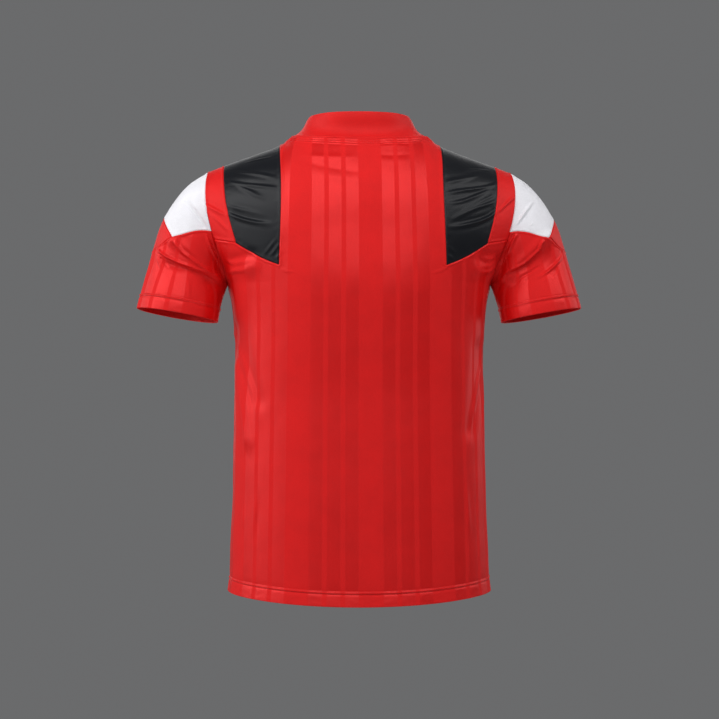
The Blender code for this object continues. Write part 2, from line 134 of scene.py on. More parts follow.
# The sleeve from armhole to cuff: share of the way, its top edge out and up, its under
# edge out and up, half its depth.
SLEEVE = (
    (0.000, 0.234, -0.050, 0.2035, -0.222, 0.0550),
    (0.139, 0.262, -0.069, 0.2045, -0.226, 0.0560),
    (0.291, 0.286, -0.097, 0.2060, -0.231, 0.0575),
    (0.452, 0.305, -0.131, 0.2085, -0.238, 0.0580),
    (0.608, 0.317, -0.167, 0.2115, -0.247, 0.0575),
    (0.788, 0.329, -0.209, 0.2155, -0.261, 0.0560),
    (1.000, 0.341, -0.259, 0.2197, -0.280, 0.0545),
)
# Seams across the sleeve: angle round it from its top edge, share of the way to the cuff.
BLOCK_OUTER_SEAM = ((0.0, 0.402), (56.9, 0.444))
SLEEVE_CROSS_SEAM = (
    (0.0, 0.630), (29.8, 0.590), (42.3, 0.533), (56.9, 0.444), (70.5, 0.339), (84.0, 0.176),
    (95.0, 0.000),
)
# Angles of the armpit, the foot of the panels, the foot of the white block and the
# shoulder seam at the front.
UNDERARM_ANGLE, FOOT_ANGLE, BLOCK_ANGLE, FRONT_SEAM_ANGLE = 180.0, 103.0, 95.0, 14.0
NECK_ACROSS = NECK_HALF_WIDTH / PANEL_INNER_SEAM[-1][1]
FRONT_NECK_POINT = 0.1005   # where the front shoulder seam meets the neck seam

# The largest folds, as they lie when the garment is seen square on: side, start out and
# up, end out and up, half width, how far the cloth stands out from its smooth form.
FOLDS = (
    (BACK, -0.060, -0.215, 0.060, -0.215, 0.0700, 0.0050),
    (BACK, 0.287, -0.151, 0.214, -0.214, 0.0100, 0.0050),
    (BACK, 0.274, -0.187, 0.230, -0.210, 0.0280, -0.0125),
    (BACK, 0.310, -0.258, 0.245, -0.272, 0.0270, 0.0045),
    (BACK, -0.284, -0.158, -0.214, -0.216, 0.0090, 0.0040),
    (BACK, -0.305, -0.177, -0.216, -0.214, 0.0090, 0.0035),
    (BACK, -0.284, -0.192, -0.230, -0.213, 0.0260, -0.0105),
    (BACK, -0.310, -0.258, -0.245, -0.272, 0.0270, 0.0045),
    (BACK, -0.194, -0.188, -0.168, -0.182, 0.0100, -0.0030),
    (BACK, -0.190, -0.201, -0.166, -0.197, 0.0110, 0.0035),
    (BACK, 0.207, -0.182, 0.184, -0.183, 0.0100, -0.0035),
    (BACK, 0.200, -0.200, 0.176, -0.202, 0.0120, 0.0030),
    (BACK, -0.190, -0.290, -0.158, -0.400, 0.0110, -0.0040),
    (BACK, -0.188, -0.345, -0.172, -0.460, 0.0110, 0.0035),
    (BACK, 0.181, -0.320, 0.165, -0.445, 0.0110, -0.0040),
    (FRONT, 0.283, -0.165, 0.213, -0.212, 0.0100, 0.0035),
    (FRONT, -0.296, -0.170, -0.215, -0.214, 0.0100, 0.0040),
    (FRONT, 0.196, -0.196, 0.160, -0.186, 0.0120, -0.0035),
    (FRONT, -0.198, -0.190, -0.166, -0.198, 0.0110, 0.0030),
    (FRONT, 0.186, -0.300, 0.160, -0.430, 0.0120, -0.0040),
    (FRONT, -0.180, -0.340, -0.166, -0.470, 0.0120, 0.0035),
)
FOLD_FADE = 0.020           # folds fade over this depth towards the side of the garment

# The creases, each as it lies when looked at from an azimuth (0 is the back, 90 the
# wearer's right): azimuth, half width at its start and end, height, the side on which the
# cloth slopes down to it from afar (1 is the left of its run, -1 the right, 3 or -3 three
# times as far), the share of its length where it is highest, and its route as out and up.
# Lengths are in millimetres.
CREASES = (
    # left sleeve
    (0, 1.9, 2.5, 3.3, 3, 0.10,
     ((-283, -158), (-277, -166), (-270, -175), (-259, -184), (-250, -191), (-239, -199),
      (-229, -205), (-217, -214))),
    (0, 1.8, 2.2, -1.6, 0, 0.20, ((-288, -159), (-281, -170), (-272, -180), (-262, -187))),
    (0, 1.8, 2.4, 3.6, -1, 0.12,
     ((-309, -171), (-298, -180), (-284, -187), (-271, -193), (-257, -198), (-247, -202),
      (-238, -205), (-226, -213), (-214, -223))),
    (0, 4.0, 4.6, -3.0, 0, 0.30,
     ((-302, -187), (-284, -196), (-268, -201), (-250, -207), (-232, -216))),
    (0, 1.8, 2.2, 2.2, 1, 0.15,
     ((-235, -148), (-231, -160), (-225, -173), (-219, -185), (-214, -194), (-208, -206))),
    (0, 5.0, 6.5, -5.0, 0, 0.75, ((-226, -160), (-219, -182), (-213, -202), (-206, -222))),
    (0, 1.5, 1.8, 2.1, 0, 0.20, ((-310, -181), (-305, -195), (-300, -207))),
    (0, 1.8, 2.2, -2.0, 0, 0.20, ((-306, -182), (-298, -192), (-292, -201))),
    (0, 2.4, 3.6, 0.9, 0, 0.60, ((-262, -214), (-261, -232), (-260, -247))),
    # right sleeve
    (0, 1.8, 2.3, 3.6, 1, 0.12,
     ((280, -156), (275, -162), (272, -169), (266, -176), (258, -183), (249, -191),
      (239, -197), (229, -201), (222, -206), (213, -213))),
    (0, 4.5, 4.8, -3.2, 0, 0.30,
     ((277, -170), (268, -183), (256, -193), (242, -202), (228, -208), (216, -216))),
    (0, 1.9, 2.2, 2.8, 0, 0.30,
     ((310, -173), (308, -180), (303, -187), (296, -194), (288, -201), (281, -206),
      (272, -211), (263, -213))),
    (0, 1.8, 2.0, -1.3, 0, 0.40, ((305, -188), (297, -204), (289, -212))),
    (0, 1.8, 2.2, -1.8, 0, 0.30,
     ((275, -194), (264, -200), (255, -206), (245, -212), (238, -220), (233, -226))),
    (0, 1.9, 2.4, 2.3, -1, 0.20,
     ((238, -145), (233, -154), (229, -163), (224, -173), (219, -184), (216, -193))),
    (0, 5.0, 6.5, -5.0, 0, 0.75, ((226, -158), (220, -182), (213, -202), (206, -222))),
    # white sleeve blocks
    (0, 1.8, 2.1, 2.6, -1, 0.50, ((-268, -92), (-249, -116), (-232, -140))),
    (0, 1.8, 2.2, 2.4, 1, 0.50, ((265, -95), (252, -111), (236, -134))),
    (0, 1.4, 1.6, 0.9, 0, 0.50, ((263, -130), (256, -134))),
    # plain red shoulder strips
    (0, 2.4, 2.8, 2.2, 1, 0.45, ((-240, -100), (-220, -112), (-200, -123))),
    (0, 2.2, 2.8, 1.4, 1, 0.50, ((-229, -117), (-214, -130), (-200, -146))),
    (0, 2.2, 2.6, 2.0, -1, 0.50, ((206, -115), (221, -101), (236, -87))),
    # left black panel
    (0, 1.6, 2.4, 0.8, 1, 0.50, ((-178, -38), (-156, -33), (-134, -29))),
    (0, 2.0, 2.8, 1.2, 1, 0.60, ((-196, -52), (-172, -55), (-150, -59), (-128, -65))),
    (0, 2.2, 3.0, 2.2, 1, 0.40, ((-200, -69), (-176, -74), (-153, -77), (-125, -81))),
    (0, 2.2, 3.0, 1.6, 0, 0.40, ((-192, -73), (-174, -82), (-159, -91), (-142, -97))),
    (0, 2.2, 2.8, 1.4, 0, 0.30, ((-205, -105), (-183, -112), (-165, -117), (-147, -124))),
    (0, 2.4, 3.4, 2.8, 1, 0.30,
     ((-203, -117), (-186, -125), (-171, -130), (-150, -134), (-134, -135))),
    (0, 1.6, 1.8, 1.2, 0, 0.60, ((-150, -183), (-139, -170), (-128, -156))),
    (0, 1.6, 1.8, 1.2, 0, 0.60, ((-141, -186), (-131, -174), (-124, -164))),
    (0, 1.4, 1.6, 0.9, 0, 0.60, ((-132, -190), (-128, -185), (-124, -179))),
    # right black panel
    (0, 1.8, 2.0, 1.0, 0, 0.60, ((150, -52), (169, -49), (199, -48))),
    (0, 3.6, 2.4, 1.8, 0, 0.30, ((124, -71), (152, -65), (180, -57))),
    (0, 2.8, 2.2, 2.2, 1, 0.50, ((124, -88), (148, -83), (172, -79), (196, -74), (207, -70))),
    (0, 2.6, 2.0, 1.6, 1, 0.50, ((126, -104), (150, -99), (169, -92), (186, -84), (197, -77))),
    (0, 2.0, 2.0, 1.0, 0, 0.60, ((148, -116), (171, -104), (190, -94), (206, -85))),
    (0, 3.0, 2.4, 2.0, 0, 0.70, ((128, -131), (155, -117), (175, -108), (195, -101), (207, -94))),
    (0, 3.2, 2.4, 2.8, 1, 0.70,
     ((126, -139), (146, -137), (164, -133), (180, -128), (194, -121), (207, -110))),
    (0, 1.5, 1.6, 1.0, 0, 0.50, ((127, -180), (133, -185), (139, -190))),
    (0, 1.5, 1.6, 0.9, 0, 0.50, ((128, -168), (133, -173), (139, -178))),
    # under the collar
    (0, 5.0, 6.0, 1.3, 0, 0.60, ((-96, -29), (-74, -32), (-41, -34), (-4, -33))),
    (0, 5.5, 6.5, -1.5, 0, 0.60, ((-101, -36), (-74, -44), (-41, -51), (-8, -56), (18, -55))),
    (0, 5.5, 6.5, 0.7, 0, 0.50, ((-84, -58), (-42, -66), (-2, -71))),
    (0, 4.5, 4.5, 1.3, 0, 0.50, ((14, -17), (46, -15), (78, -16))),
    (0, 5.0, 5.0, -1.4, 0, 0.50, ((14, -29), (45, -30), (80, -28))),
    # below the armpits and down the sides of the back
    (0, 3.1, 4.8, 1.8, -1, 0.20, ((-206, -186), (-194, -192), (-178, -190), (-160, -186))),
    (0, 2.7, 4.1, 1.4, -1, 0.25, ((-204, -206), (-189, -204), (-172, -205))),
    (0, 3.4, 4.8, 2.1, -1, 0.40,
     ((-196, -285), (-189, -310), (-180, -340), (-169, -372), (-160, -405), (-153, -450))),
    (0, 2.7, 4.1, 1.6, 1, 0.50, ((-190, -370), (-183, -400), (-178, -440), (-176, -500))),
    (0, 2.7, 4.4, 2.0, 1, 0.25, ((208, -176), (198, -184), (184, -184), (172, -178))),
    (0, 2.7, 4.1, 1.6, -1, 0.25, ((204, -198), (192, -205), (176, -206))),
    (0, 3.1, 4.1, 2.3, 1, 0.55,
     ((188, -270), (186, -310), (182, -350), (175, -390), (167, -430), (163, -470))),
    (0, 2.4, 3.1, 2.0, 0, 0.50, ((191, -345), (189, -390), (186, -440), (186, -480))),
    (0, 2.9, 3.8, 1.2, 0, 0.50, ((-176, -535), (-178, -565), (-180, -600))),
    (0, 2.9, 4.1, 1.2, 1, 0.45, ((-158, -535), (-161, -570), (-165, -608))),
    (0, 2.9, 4.1, 1.2, 0, 0.50, ((158, -520), (160, -560), (164, -610))),
    (0, 1.2, 1.8, 1.2, 0, 0.20, ((-124, -199), (-114, -206), (-102, -208))),
    (0, 1.2, 1.8, 1.2, 0, 0.20, ((128, -199), (116, -205), (104, -209))),
    # the hidden front: sleeves, armholes, chest and sides
    (180, 2.3, 3.4, 3.1, -1, 0.30, ((-286, -152), (-268, -178), (-246, -196), (-212, -214))),
    (180, 2.3, 3.4, 2.9, 1, 0.35, ((-306, -182), (-284, -197), (-256, -206), (-216, -221))),
    (180, 1.4, 2.0, 1.4, 1, 0.30, ((-308, -196), (-298, -214), (-292, -230))),
    (180, 2.3, 3.4, 3.2, 1, 0.30, ((290, -160), (272, -181), (250, -197), (213, -216))),
    (180, 2.0, 3.1, 2.5, -1, 0.35, ((308, -190), (280, -206), (248, -214), (220, -224))),
    (180, 1.2, 1.8, 1.6, 0, 0.40, ((-262, -100), (-248, -118), (-236, -136))),
    (180, 1.2, 1.8, 1.6, 0, 0.40, ((258, -94), (246, -110), (235, -132))),
    (180, 2.4, 4.1, 2.0, 1, 0.20, ((-214, -128), (-190, -134), (-160, -146), (-126, -150))),
    (180, 2.4, 4.1, 1.8, -1, 0.20, ((-216, -150), (-188, -160), (-158, -168), (-134, -182))),
    (180, 2.4, 4.4, 2.0, -1, 0.20, ((215, -120), (192, -130), (164, -138), (130, -150))),
    (180, 2.4, 4.1, 1.7, 1, 0.20, ((214, -146), (190, -154), (160, -168), (136, -176))),
    (180, 2.7, 4.8, 2.0, 1, 0.20, ((-206, -190), (-188, -198), (-160, -200))),
    (180, 2.7, 4.8, 2.0, -1, 0.20, ((206, -188), (186, -196), (158, -194))),
    (180, 3.4, 4.8, 2.0, 1, 0.40, ((-192, -300), (-180, -350), (-166, -400), (-158, -460))),
    (180, 3.4, 4.8, 1.8, -1, 0.40, ((192, -290), (182, -345), (170, -410), (164, -455))),
    (180, 2.9, 4.1, 1.3, 0, 0.50, ((-168, -540), (-172, -575), (-176, -615))),
    (180, 2.9, 4.1, 1.3, 0, 0.50, ((160, -530), (166, -570), (168, -612))),
    (180, 2.3, 3.1, 1.0, 0, 0.50, ((-52, -98), (-20, -106), (24, -108), (60, -98))),
)
CREASE_STEP = 2.0 * MM      # spacing of the points that a crease's route is read at
CREASE_REACH = 9.0          # half widths past which a crease is too low to matter
CREST_FALL, CREST_ROUNDING = 1.3, 0.35   # how steeply a crest falls away, and how round it is
HOLLOW_PLACE, HOLLOW_WIDTH, EVEN_HOLLOW = 2.0, 1.2, 0.25    # the narrow hollows on both sides
SLOPE_START, SLOPE_LENGTH, LEANING_HOLLOW = 1.5, 2.5, 0.70  # the long slope on the side it leans to
STEEPEST = 0.35             # cosine of the steepest tilt to the eye that a crease allows for
SAME_CLOTH = 0.4            # cosine between two faces from which a crease is at its full height
CREASE_DEPTH = 25 * MM      # cloth this much nearer or farther than the route isn't creased by it
ROUTE_MARGIN = 8 * MM       # cloth this far round a route is looked at for its depth and tilt
ROUTE_REACH, LEAST_REACH = 1.5 * MM, 5 * MM     # and of it, what lies this close to each point
TURNED_AWAY = 0.1           # cosine past which cloth faces away from the eye
CREASING_AT_EDGE = 0.3      # share of a crease's height that is left at a hem's or cuff's edge
UNEVENNESS = ((0.9 * MM, 0.085, 3.0), (0.25 * MM, 0.022, 11.0))     # height, size, seed

# ------------------------------------------------------------------- how it is divided
EDGE_STEPS = (0.0005, 0.0011, 0.0019, 0.0030)    # the first rows beside a seam lie closer
BAND_STEPS = (
    0.0, 0.0005, 0.0012, 0.0022, 0.0036, 0.0056, 0.0080, 0.0105, 0.0130, 0.0150, 0.0163,
    0.0171, 0.0178, 0.0185, 0.0192, 0.0199, 0.0206, 0.0213, 0.0221, 0.0231, 0.0246,
)                                                # rows of a turned hem, up from its edge
WELD = 0.01 * MM
SEAM_MARK, EDGE_MARK = 0.3 * MM, 0.4 * MM        # spacing of the marks that gaps are measured to

# The stretches of cloth between seams: length, size of a cell.
UNDERARM_ROWS, FOOT_ROWS = (0.075, 0.0022), (0.014, 0.0020)
SHOULDER_ROWS, CREST_ROWS, SIDE_ROWS = (0.158, 0.0020), (0.026, 0.0016), (0.45, 0.0070)
CENTRE_COLUMNS, NECK_COLUMNS = (0.104, 0.0054), (0.021, 0.0042)
PANEL_COLUMNS, STRIP_COLUMNS = (0.082, 0.0022), (0.098, 0.0030)
BLOCK_RINGS, TOP_RINGS, SLEEVE_RINGS = (0.095, 0.0018), (0.044, 0.0016), (0.090, 0.0011)
COLLAR_ROWS = (0.038, 0.0024)

# --------------------------------------------------------------------- seams and edges
SEAM_DEPTH, SEAM_HALF_WIDTH = 0.55 * MM, 0.9 * MM
SEAM_RIDGE, SEAM_RIDGE_PLACE, SEAM_RIDGE_WIDTH = 0.80 * MM, 2.0 * MM, 1.1 * MM
RAISED_AT_SEAMS = ("back", "front", "sleeve_left", "sleeve_right", "shoulder_strip", "collar")
LOW_RIDGE = 0.35            # share of the ridge that the other pieces show
PUCKER_HEIGHT, PUCKER_REACH, PUCKER_SIZE, PUCKER_SEED = 0.45 * MM, 4.5 * MM, 0.007, 41.0
BAND_DEPTH = 20.0 * MM      # depth of the turned hem and cuffs
BAND_END = BAND_DEPTH + 0.6 * MM                # where the doubled cloth has ended
BAND_SWELL, SWELL_END = 0.35 * MM, 1.2 * MM     # how far it stands out, and the width it ends over
BAND_DOUBLING, DOUBLING_END = 0.9, 0.9 * MM     # the same for its share of added thickness
BAND_FLARE = 2.6 * MM       # how far the hem's edge stands out from the body
RIB_HEIGHT, RIB_WIDTH, RIB_GROOVE = 1.1 * MM, 1.3 * MM, 2.5 * MM
GROOVE_BELOW, GROOVE_ABOVE = 0.8, 0.3           # depths of its two grooves, as shares of its height
CRUMPLE, CRUMPLE_SIZE, CRUMPLE_SEED = 0.45 * MM, 0.009, 23.0    # small crumples in the bands
CRUMPLE_SQUASH = (1, 1, 1.6)                    # they are wider than high
TWIN_HALF_GAP = 1.4 * MM    # from the top of a band to each of its two rows of stitches
NECK_ROWS, NECK_ROW_WIDTH = (5.8 * MM, 10.2 * MM), 0.9 * MM     # stitches below the collar
NECK_PUCKERS = (3.4 * MM, 8.0 * MM, 12.6 * MM)  # where the cloth puckers up beside them
NECK_PUCKER_WIDTH, NECK_RELIEF = 1.5 * MM, 1.00 * MM
NECK_UNEVENNESS, NECK_PUCKER_SIZE, NECK_SEED = 0.9, 0.010, 57.0
EDGE_ROUNDING = (pi / 4, pi / 2, 3 * pi / 4)    # turns at which points round an open edge
SHARP_ANGLE = radians(80)
LEAST_STEP = 0.2 * MM       # points of a stitch line that lie closer than this are one

# ----------------------------------------------------------------------------- finishes
# The dyed loops give the light that they throw back some of their colour, and a high IOR
# gives the red knits the bright sheen of polyester.
RED_TINT = (1.0, 0.11, 0.11, 1.0)
COLLAR_TINT, NO_TINT = (1.0, 0.42, 0.41, 1.0), (1.0, 1.0, 1.0, 1.0)
PLAIN_IOR, RED_IOR = 1.5, 2.1
SHEEN_ROUGHNESS = 0.4
MATT_ROUGHNESS, SATIN_ROUGHNESS = 0.78, 0.46
SATIN_RELIEF = 0.35         # how deep the satin's loops are, beside those of the ground
STRIPE_EDGE = 0.5 * MM      # width over which a stripe's edge passes into the ground
LOOP_LEAN = 0.9             # how many courses a loop's legs climb for each wale that they cross
CLOUD_SCALE, GRAIN_SCALE = 35.0, 900.0      # uneven patches of about 29 mm, and grain of 1.1 mm
SHADES = {1: 0.7, 2: 1.3, 3: 0.93, 4: 1.07}     # from their sum to the colour's brightness
BUMP_STRENGTH = 0.5
THREAD_ROUGHNESS, THREAD_SHEEN = 0.42, 0.2
TWIST_SCALE = 900.0         # gives bands of about 0.35 mm, the width of a thread's strands
TWIST_SHADES = {3: 0.85, 4: 1.1}
THREAD_HEIGHT = 0.7         # height of a stitch, beside its width


def linear(hex_colour):
    """An sRGB hex colour as the linear red, green, blue and alpha of a shader."""
    parts = [int(hex_colour[i:i + 2], 16) / 255 for i in (1, 3, 5)]
    return (*(c / 12.92 if c <= 0.04045 else ((c + 0.055) / 1.055) ** 2.4 for c in parts), 1.0)


# ---------------------------------------------------------------------------- arithmetic
def mix(a, b, share):
    return a + (b - a) * share


def smooth(share):
    """A share held between 0 and 1, and eased at both ends."""
    share = np.clip(share, 0.0, 1.0)
    return share * share * (3 - 2 * share)


def bell(distance, width):
    """A bell curve: 1 at no distance, and about a third at its width."""
    return np.exp(-(distance / width) ** 2)


def read(table, place, column=1):
    """A column of a table at each place, on a smooth curve through the table's rows."""
    rows = np.asarray(table, float)
    at, value = rows[:, 0], rows[:, column]
    order = np.arange(len(at))
    before, after = np.maximum(order - 1, 0), np.minimum(order + 1, len(at) - 1)
    slope = (value[after] - value[before]) / (at[after] - at[before])
    place = np.clip(place, at[0], at[-1])
    upper = np.clip(np.searchsorted(at, place), 1, len(at) - 1)
    lower = upper - 1
    width = at[upper] - at[lower]
    t = (place - at[lower]) / width
    return (
        value[lower] * (1 + 2 * t) * (1 - t) ** 2 + value[upper] * t * t * (3 - 2 * t)
        + width * (slope[lower] * t * (1 - t) ** 2 - slope[upper] * t * t * (1 - t))
    )


def shares(length, cell, crowd_start=True, crowd_end=True):
    """Shares of a length at about one cell apart, closer together beside a seam."""
    start = np.array(EDGE_STEPS if crowd_start else ())
    end = np.array(EDGE_STEPS if crowd_end else ())
    low = start[-1] if crowd_start else 0.0
    high = length - (end[-1] if crowd_end else 0.0)
    middle = np.linspace(low, high, max(2, round((high - low) / cell) + 1))
    places = np.concatenate(([0.0], start, middle, length - end, [length]))
    return np.unique(places.round(7)) / length


# ------------------------------------------------------------------------ form of the body
def depth(side, height):
    """How deep the body is at its middle, behind or in front of the side seams."""
    return read(BODY_DEPTH, height, 1 if side == BACK else 2)


def rounding(side, x, height):
    """Share of the full depth that the cloth has reached below the line of the shoulder."""
    rise = BACK_RISE if side == BACK else FRONT_RISE
    fall = np.clip((read(SHOULDER, x) - height) / rise, 0.0, 1.0)
    towards_neck = np.maximum(0.0, 1 - (x / NECK_HALF_WIDTH) ** 2)
    power = CREST_POWER + (THROAT_POWER * towards_neck if side == FRONT else 0.0)
    return (1 - (1 - fall) ** 2) ** power


def top_height(side, x):
    """Height of the body's upper edge: the neck seam, then the line of the shoulder."""
    neck = read(NECK_SEAM, x, 1 if side == BACK else 2)
    return np.where(x < NECK_HALF_WIDTH, neck, read(SHOULDER, x))


def armhole_bulge(angle):
    """How far the armhole seam bows out at an angle from its top."""
    return ARMHOLE_BULGE * np.sin(angle) ** 2 * (1 + ARMHOLE_BULGE_LEAN * np.cos(angle))


def armhole(angle):
    """Points of the armhole seam, by their angle from its top: out, depth, height."""
    (top_x, top_z), (low_x, low_z) = ARMHOLE_TOP, ARMHOLE_BOTTOM
    share = (1 - np.cos(angle)) / 2
    return (
        mix(top_x, low_x, share) + armhole_bulge(angle),
        ARMHOLE_HALF_DEPTH * np.sin(angle),
        mix(top_z, low_z, share),
    )


def row_shape(side, angle):
    """The rows that meet the armhole at an angle: full half width, and the place of the
    row's end round the body ring."""
    end_x, end_depth, end_z = armhole(np.maximum(angle, FIRST_ANGLE))
    full = depth(side, end_z) * rounding(side, end_x, end_z)
    reach = (1 - np.minimum(end_depth / full, FULLEST) ** BODY_ROUNDNESS) ** (1 / BODY_ROUNDNESS)
    return end_x / reach, np.arcsin(np.minimum(reach ** (BODY_ROUNDNESS / 2), 1.0))


def body_point(side, angle, share):
    """Points of the body above the armpit. The share runs from the middle to the armhole."""
    end_x, _, end_z = armhole(angle)
    half_width, end_turn = row_shape(side, angle)
    turn = share * end_turn
    x = half_width * np.sin(turn) ** (2 / BODY_ROUNDNESS)
    lift = (1 - angle / pi) ** ROW_LIFT
    height = end_z + lift * (top_height(side, x) - top_height(side, end_x))
    ring = np.maximum(np.cos(turn), 0.0) ** (2 / BODY_ROUNDNESS)
    y = depth(side, height) * rounding(side, x, height) * ring
    return np.stack([x, side * y, height], axis=-1)


def share_at(side, angle, x):
    """The share of a row at which it is a given distance from the middle."""
    half_width, end_turn = row_shape(side, angle)
    return np.arcsin(np.minimum((x / half_width) ** (BODY_ROUNDNESS / 2), 1.0)) / end_turn


def angle_at(side, x, height):
    """The armhole angle of the row that passes through a place, found by halving."""
    low, high = 0.0, pi
    for _ in range(HALVINGS):
        middle = (low + high) / 2
        share = min(share_at(side, middle, x), 1.0)
        if body_point(side, middle, share)[2] > height:
            low = middle
        else:
            high = middle
    return low


def column_share(side, across, angle):
    """Where columns cross rows. Across runs from 0 in the middle to 1 at the black panel,
    2 at the strip and 3 at the armhole."""
    height = armhole(angle)[2]
    neck_x = FRONT_NECK_POINT if side == FRONT else NECK_HALF_WIDTH
    centre = np.interp(across, (0, NECK_ACROSS, 1), (0, neck_x / PANEL_INNER_SEAM[-1][1], 1))
    inner_x = read(PANEL_INNER_SEAM, height)
    middle = share_at(side, angle, inner_x * centre)
    inner = share_at(side, angle, inner_x)
    outer = share_at(side, angle, read(PANEL_OUTER_SEAM, height))
    panel, strip = mix(inner, outer, across - 1), mix(outer, 1.0, across - 2)
    return np.where(across <= 1, middle, np.where(across <= 2, panel, strip))


def row_angle(side, across, at_side, foot):
    """The armhole angle of rows at columns. Rows spread evenly below and above the foot of
    the panels, and at the front they end on the neck seam."""
    at_foot, last = radians(FOOT_ANGLE), radians(FRONT_SEAM_ANGLE)
    below = pi - (pi - at_side) / (pi - at_foot) * (pi - foot)
    above = at_side / at_foot * foot
    if side == FRONT:
        to_neck = (at_side - last) / (at_foot - last) * foot
        outside = np.clip((across - NECK_ACROSS) / (1 - NECK_ACROSS), 0.0, 1.0)
        above = mix(to_neck, above, outside)
    return np.maximum(np.where(at_side >= at_foot, below, above), 0.0)


# --------------------------------------------------------------------- form of the sleeve
def sleeve_point(side, angle, share):
    """Points of the right sleeve, by their angle from its top edge and their share of the
    way from armhole to cuff."""
    top_x, top_z, under_x, under_z, half_depth = (read(SLEEVE, share, c) for c in range(1, 6))
    down = (1 - np.cos(angle)) / 2
    lift = -side * CUFF_BACK_LIFT * share * np.sin(angle)
    return np.stack([
        mix(top_x, under_x, down) + armhole_bulge(angle) * (1 - share) ** 2,
        side * half_depth * np.sin(angle) - SLEEVE_BACK_SET * share,
        mix(top_z, under_z, down) + lift,
    ], axis=-1)


def cross_seam(degrees):
    """Share of the way to the cuff at which the striped lower sleeve starts."""
    return np.where(degrees < BLOCK_ANGLE, read(SLEEVE_CROSS_SEAM, degrees), 0.0)


def block_seam(degrees):
    """Share of the way to the cuff at which the white block ends."""
    return np.minimum(read(BLOCK_OUTER_SEAM, degrees), cross_seam(degrees))


# ---------------------------------------------------------------- rows and columns of cloth
@lru_cache(maxsize=None)
def armhole_angles():
    """Angles round the armhole, in degrees, from the armpit to the top."""
    under = mix(UNDERARM_ANGLE, FOOT_ANGLE, shares(*UNDERARM_ROWS, crowd_start=False))
    between = mix(FOOT_ANGLE, BLOCK_ANGLE, shares(*FOOT_ROWS))
    upper = mix(BLOCK_ANGLE, FRONT_SEAM_ANGLE, shares(*SHOULDER_ROWS))
    crest = mix(FRONT_SEAM_ANGLE, 0.0, shares(*CREST_ROWS))
    return np.concatenate((under, between[1:], upper[1:], crest[1:]))


@lru_cache(maxsize=None)
def columns():
    """Columns of the body, from 0 in the middle to 3 at the armhole."""
    centre = mix(0.0, NECK_ACROSS, shares(*CENTRE_COLUMNS, crowd_start=False, crowd_end=False))
    beside_neck = mix(NECK_ACROSS, 1.0, shares(*NECK_COLUMNS, crowd_start=False))
    panel = 1 + shares(*PANEL_COLUMNS)
    strip = 2 + shares(*STRIP_COLUMNS)
    return np.concatenate((centre, beside_neck[1:], panel[1:], strip[1:]))


def lengths_along(points, axis):
    """The length of cloth from the first point to each one, along an axis of a grid."""
    steps = np.linalg.norm(np.diff(points, axis=axis), axis=-1)
    start = np.zeros_like(np.take(steps, [0], axis=axis))
    return np.cumsum(np.concatenate((start, steps), axis=axis), axis=axis)


def body_grid(side):
    """One quarter of the body on the wearer's right: its points in rows from the hem up,
    and the stem of the name of the piece that each cell belongs to."""
    across = columns()
    tip, corner = angle_at(BACK, *PANEL_TIP), angle_at(BACK, *PANEL_OUTER_CORNER)
    foot = np.interp(across, (0, 1, 2, 3), (tip, tip, corner, radians(FOOT_ANGLE)))

    # Below the armpit, rows run level from side to side, and the lowest follow the hem.
    armpit = body_point(side, pi, column_share(side, across, pi))
    reach = armpit[:, 0] / armpit[-1, 0]
    hem_z = HEM_SIDE_HEIGHT - HEM_DROP * (1 - reach ** 2)
    band = hem_z + np.array(BAND_STEPS)[:, None]
    rows = shares(*SIDE_ROWS, crowd_start=False, crowd_end=False)[1:-1, None]
    above = mix(band[-1], armpit[-1, 2], rows)
    z = np.concatenate((band, above))
    ring = np.maximum(0.0, 1 - reach ** BODY_ROUNDNESS) ** (1 / BODY_ROUNDNESS)
    lower = np.stack([reach * read(BODY_WIDTH, z), side * depth(side, z) * ring, z], axis=-1)

    # Above it, each row ends on the armhole. At the front they close up to the neck seam.
    at_side = np.radians(armhole_angles())[:, None]
    angle = row_angle(side, across, at_side, foot)
    upper = body_point(side, angle, column_share(side, across, angle))
    neck = int(np.argmin(abs(across - NECK_ACROSS)))
    if side == FRONT:
        end = int(np.argmin(abs(across - 1)))
        past = np.clip(1 - armhole_angles() / FRONT_SEAM_ANGLE, 0.0, 1.0)
        x = mix(FRONT_NECK_POINT, NECK_HALF_WIDTH, past)
        seam = body_point(side, 0.0, share_at(side, 0.0, x))
        fade = (1 - (across[neck:end] - NECK_ACROSS) / (1 - NECK_ACROSS)) ** 2
        shift = np.where(past[:, None] > 0, seam - upper[:, neck], 0.0)
        upper[:, neck:end] += shift[:, None] * fade[None, :, None]
    # Both halves share the line of the shoulder and the armhole.
    ridge = body_point(BACK, 0.0, column_share(BACK, across, 0.0))
    upper[-1, neck:] = ridge[neck:] * (1, 0, 1)
    out, back, up = armhole(at_side[:, 0])
    upper[:, -1] = np.stack([out, side * back, up], axis=-1)

    # Each cell's piece, by the row and the column of its middle.
    row = np.concatenate((np.full(len(lower), UNDERARM_ANGLE + 1), armhole_angles()))
    row, column = (row[1:, None] + row[:-1, None]) / 2, (across[1:] + across[:-1]) / 2
    stem = np.where(column < 2, "shoulder_panel", "shoulder_strip")
    stem = np.where((column < 1) | (side == BACK) & (row > FOOT_ANGLE), "back", stem)
    if side == FRONT:
        stem = np.where(row > FRONT_SEAM_ANGLE, "front", stem)
        stem = np.where((row < FRONT_SEAM_ANGLE) & (column < NECK_ACROSS), "", stem)
    return np.concatenate((lower, upper)), stem


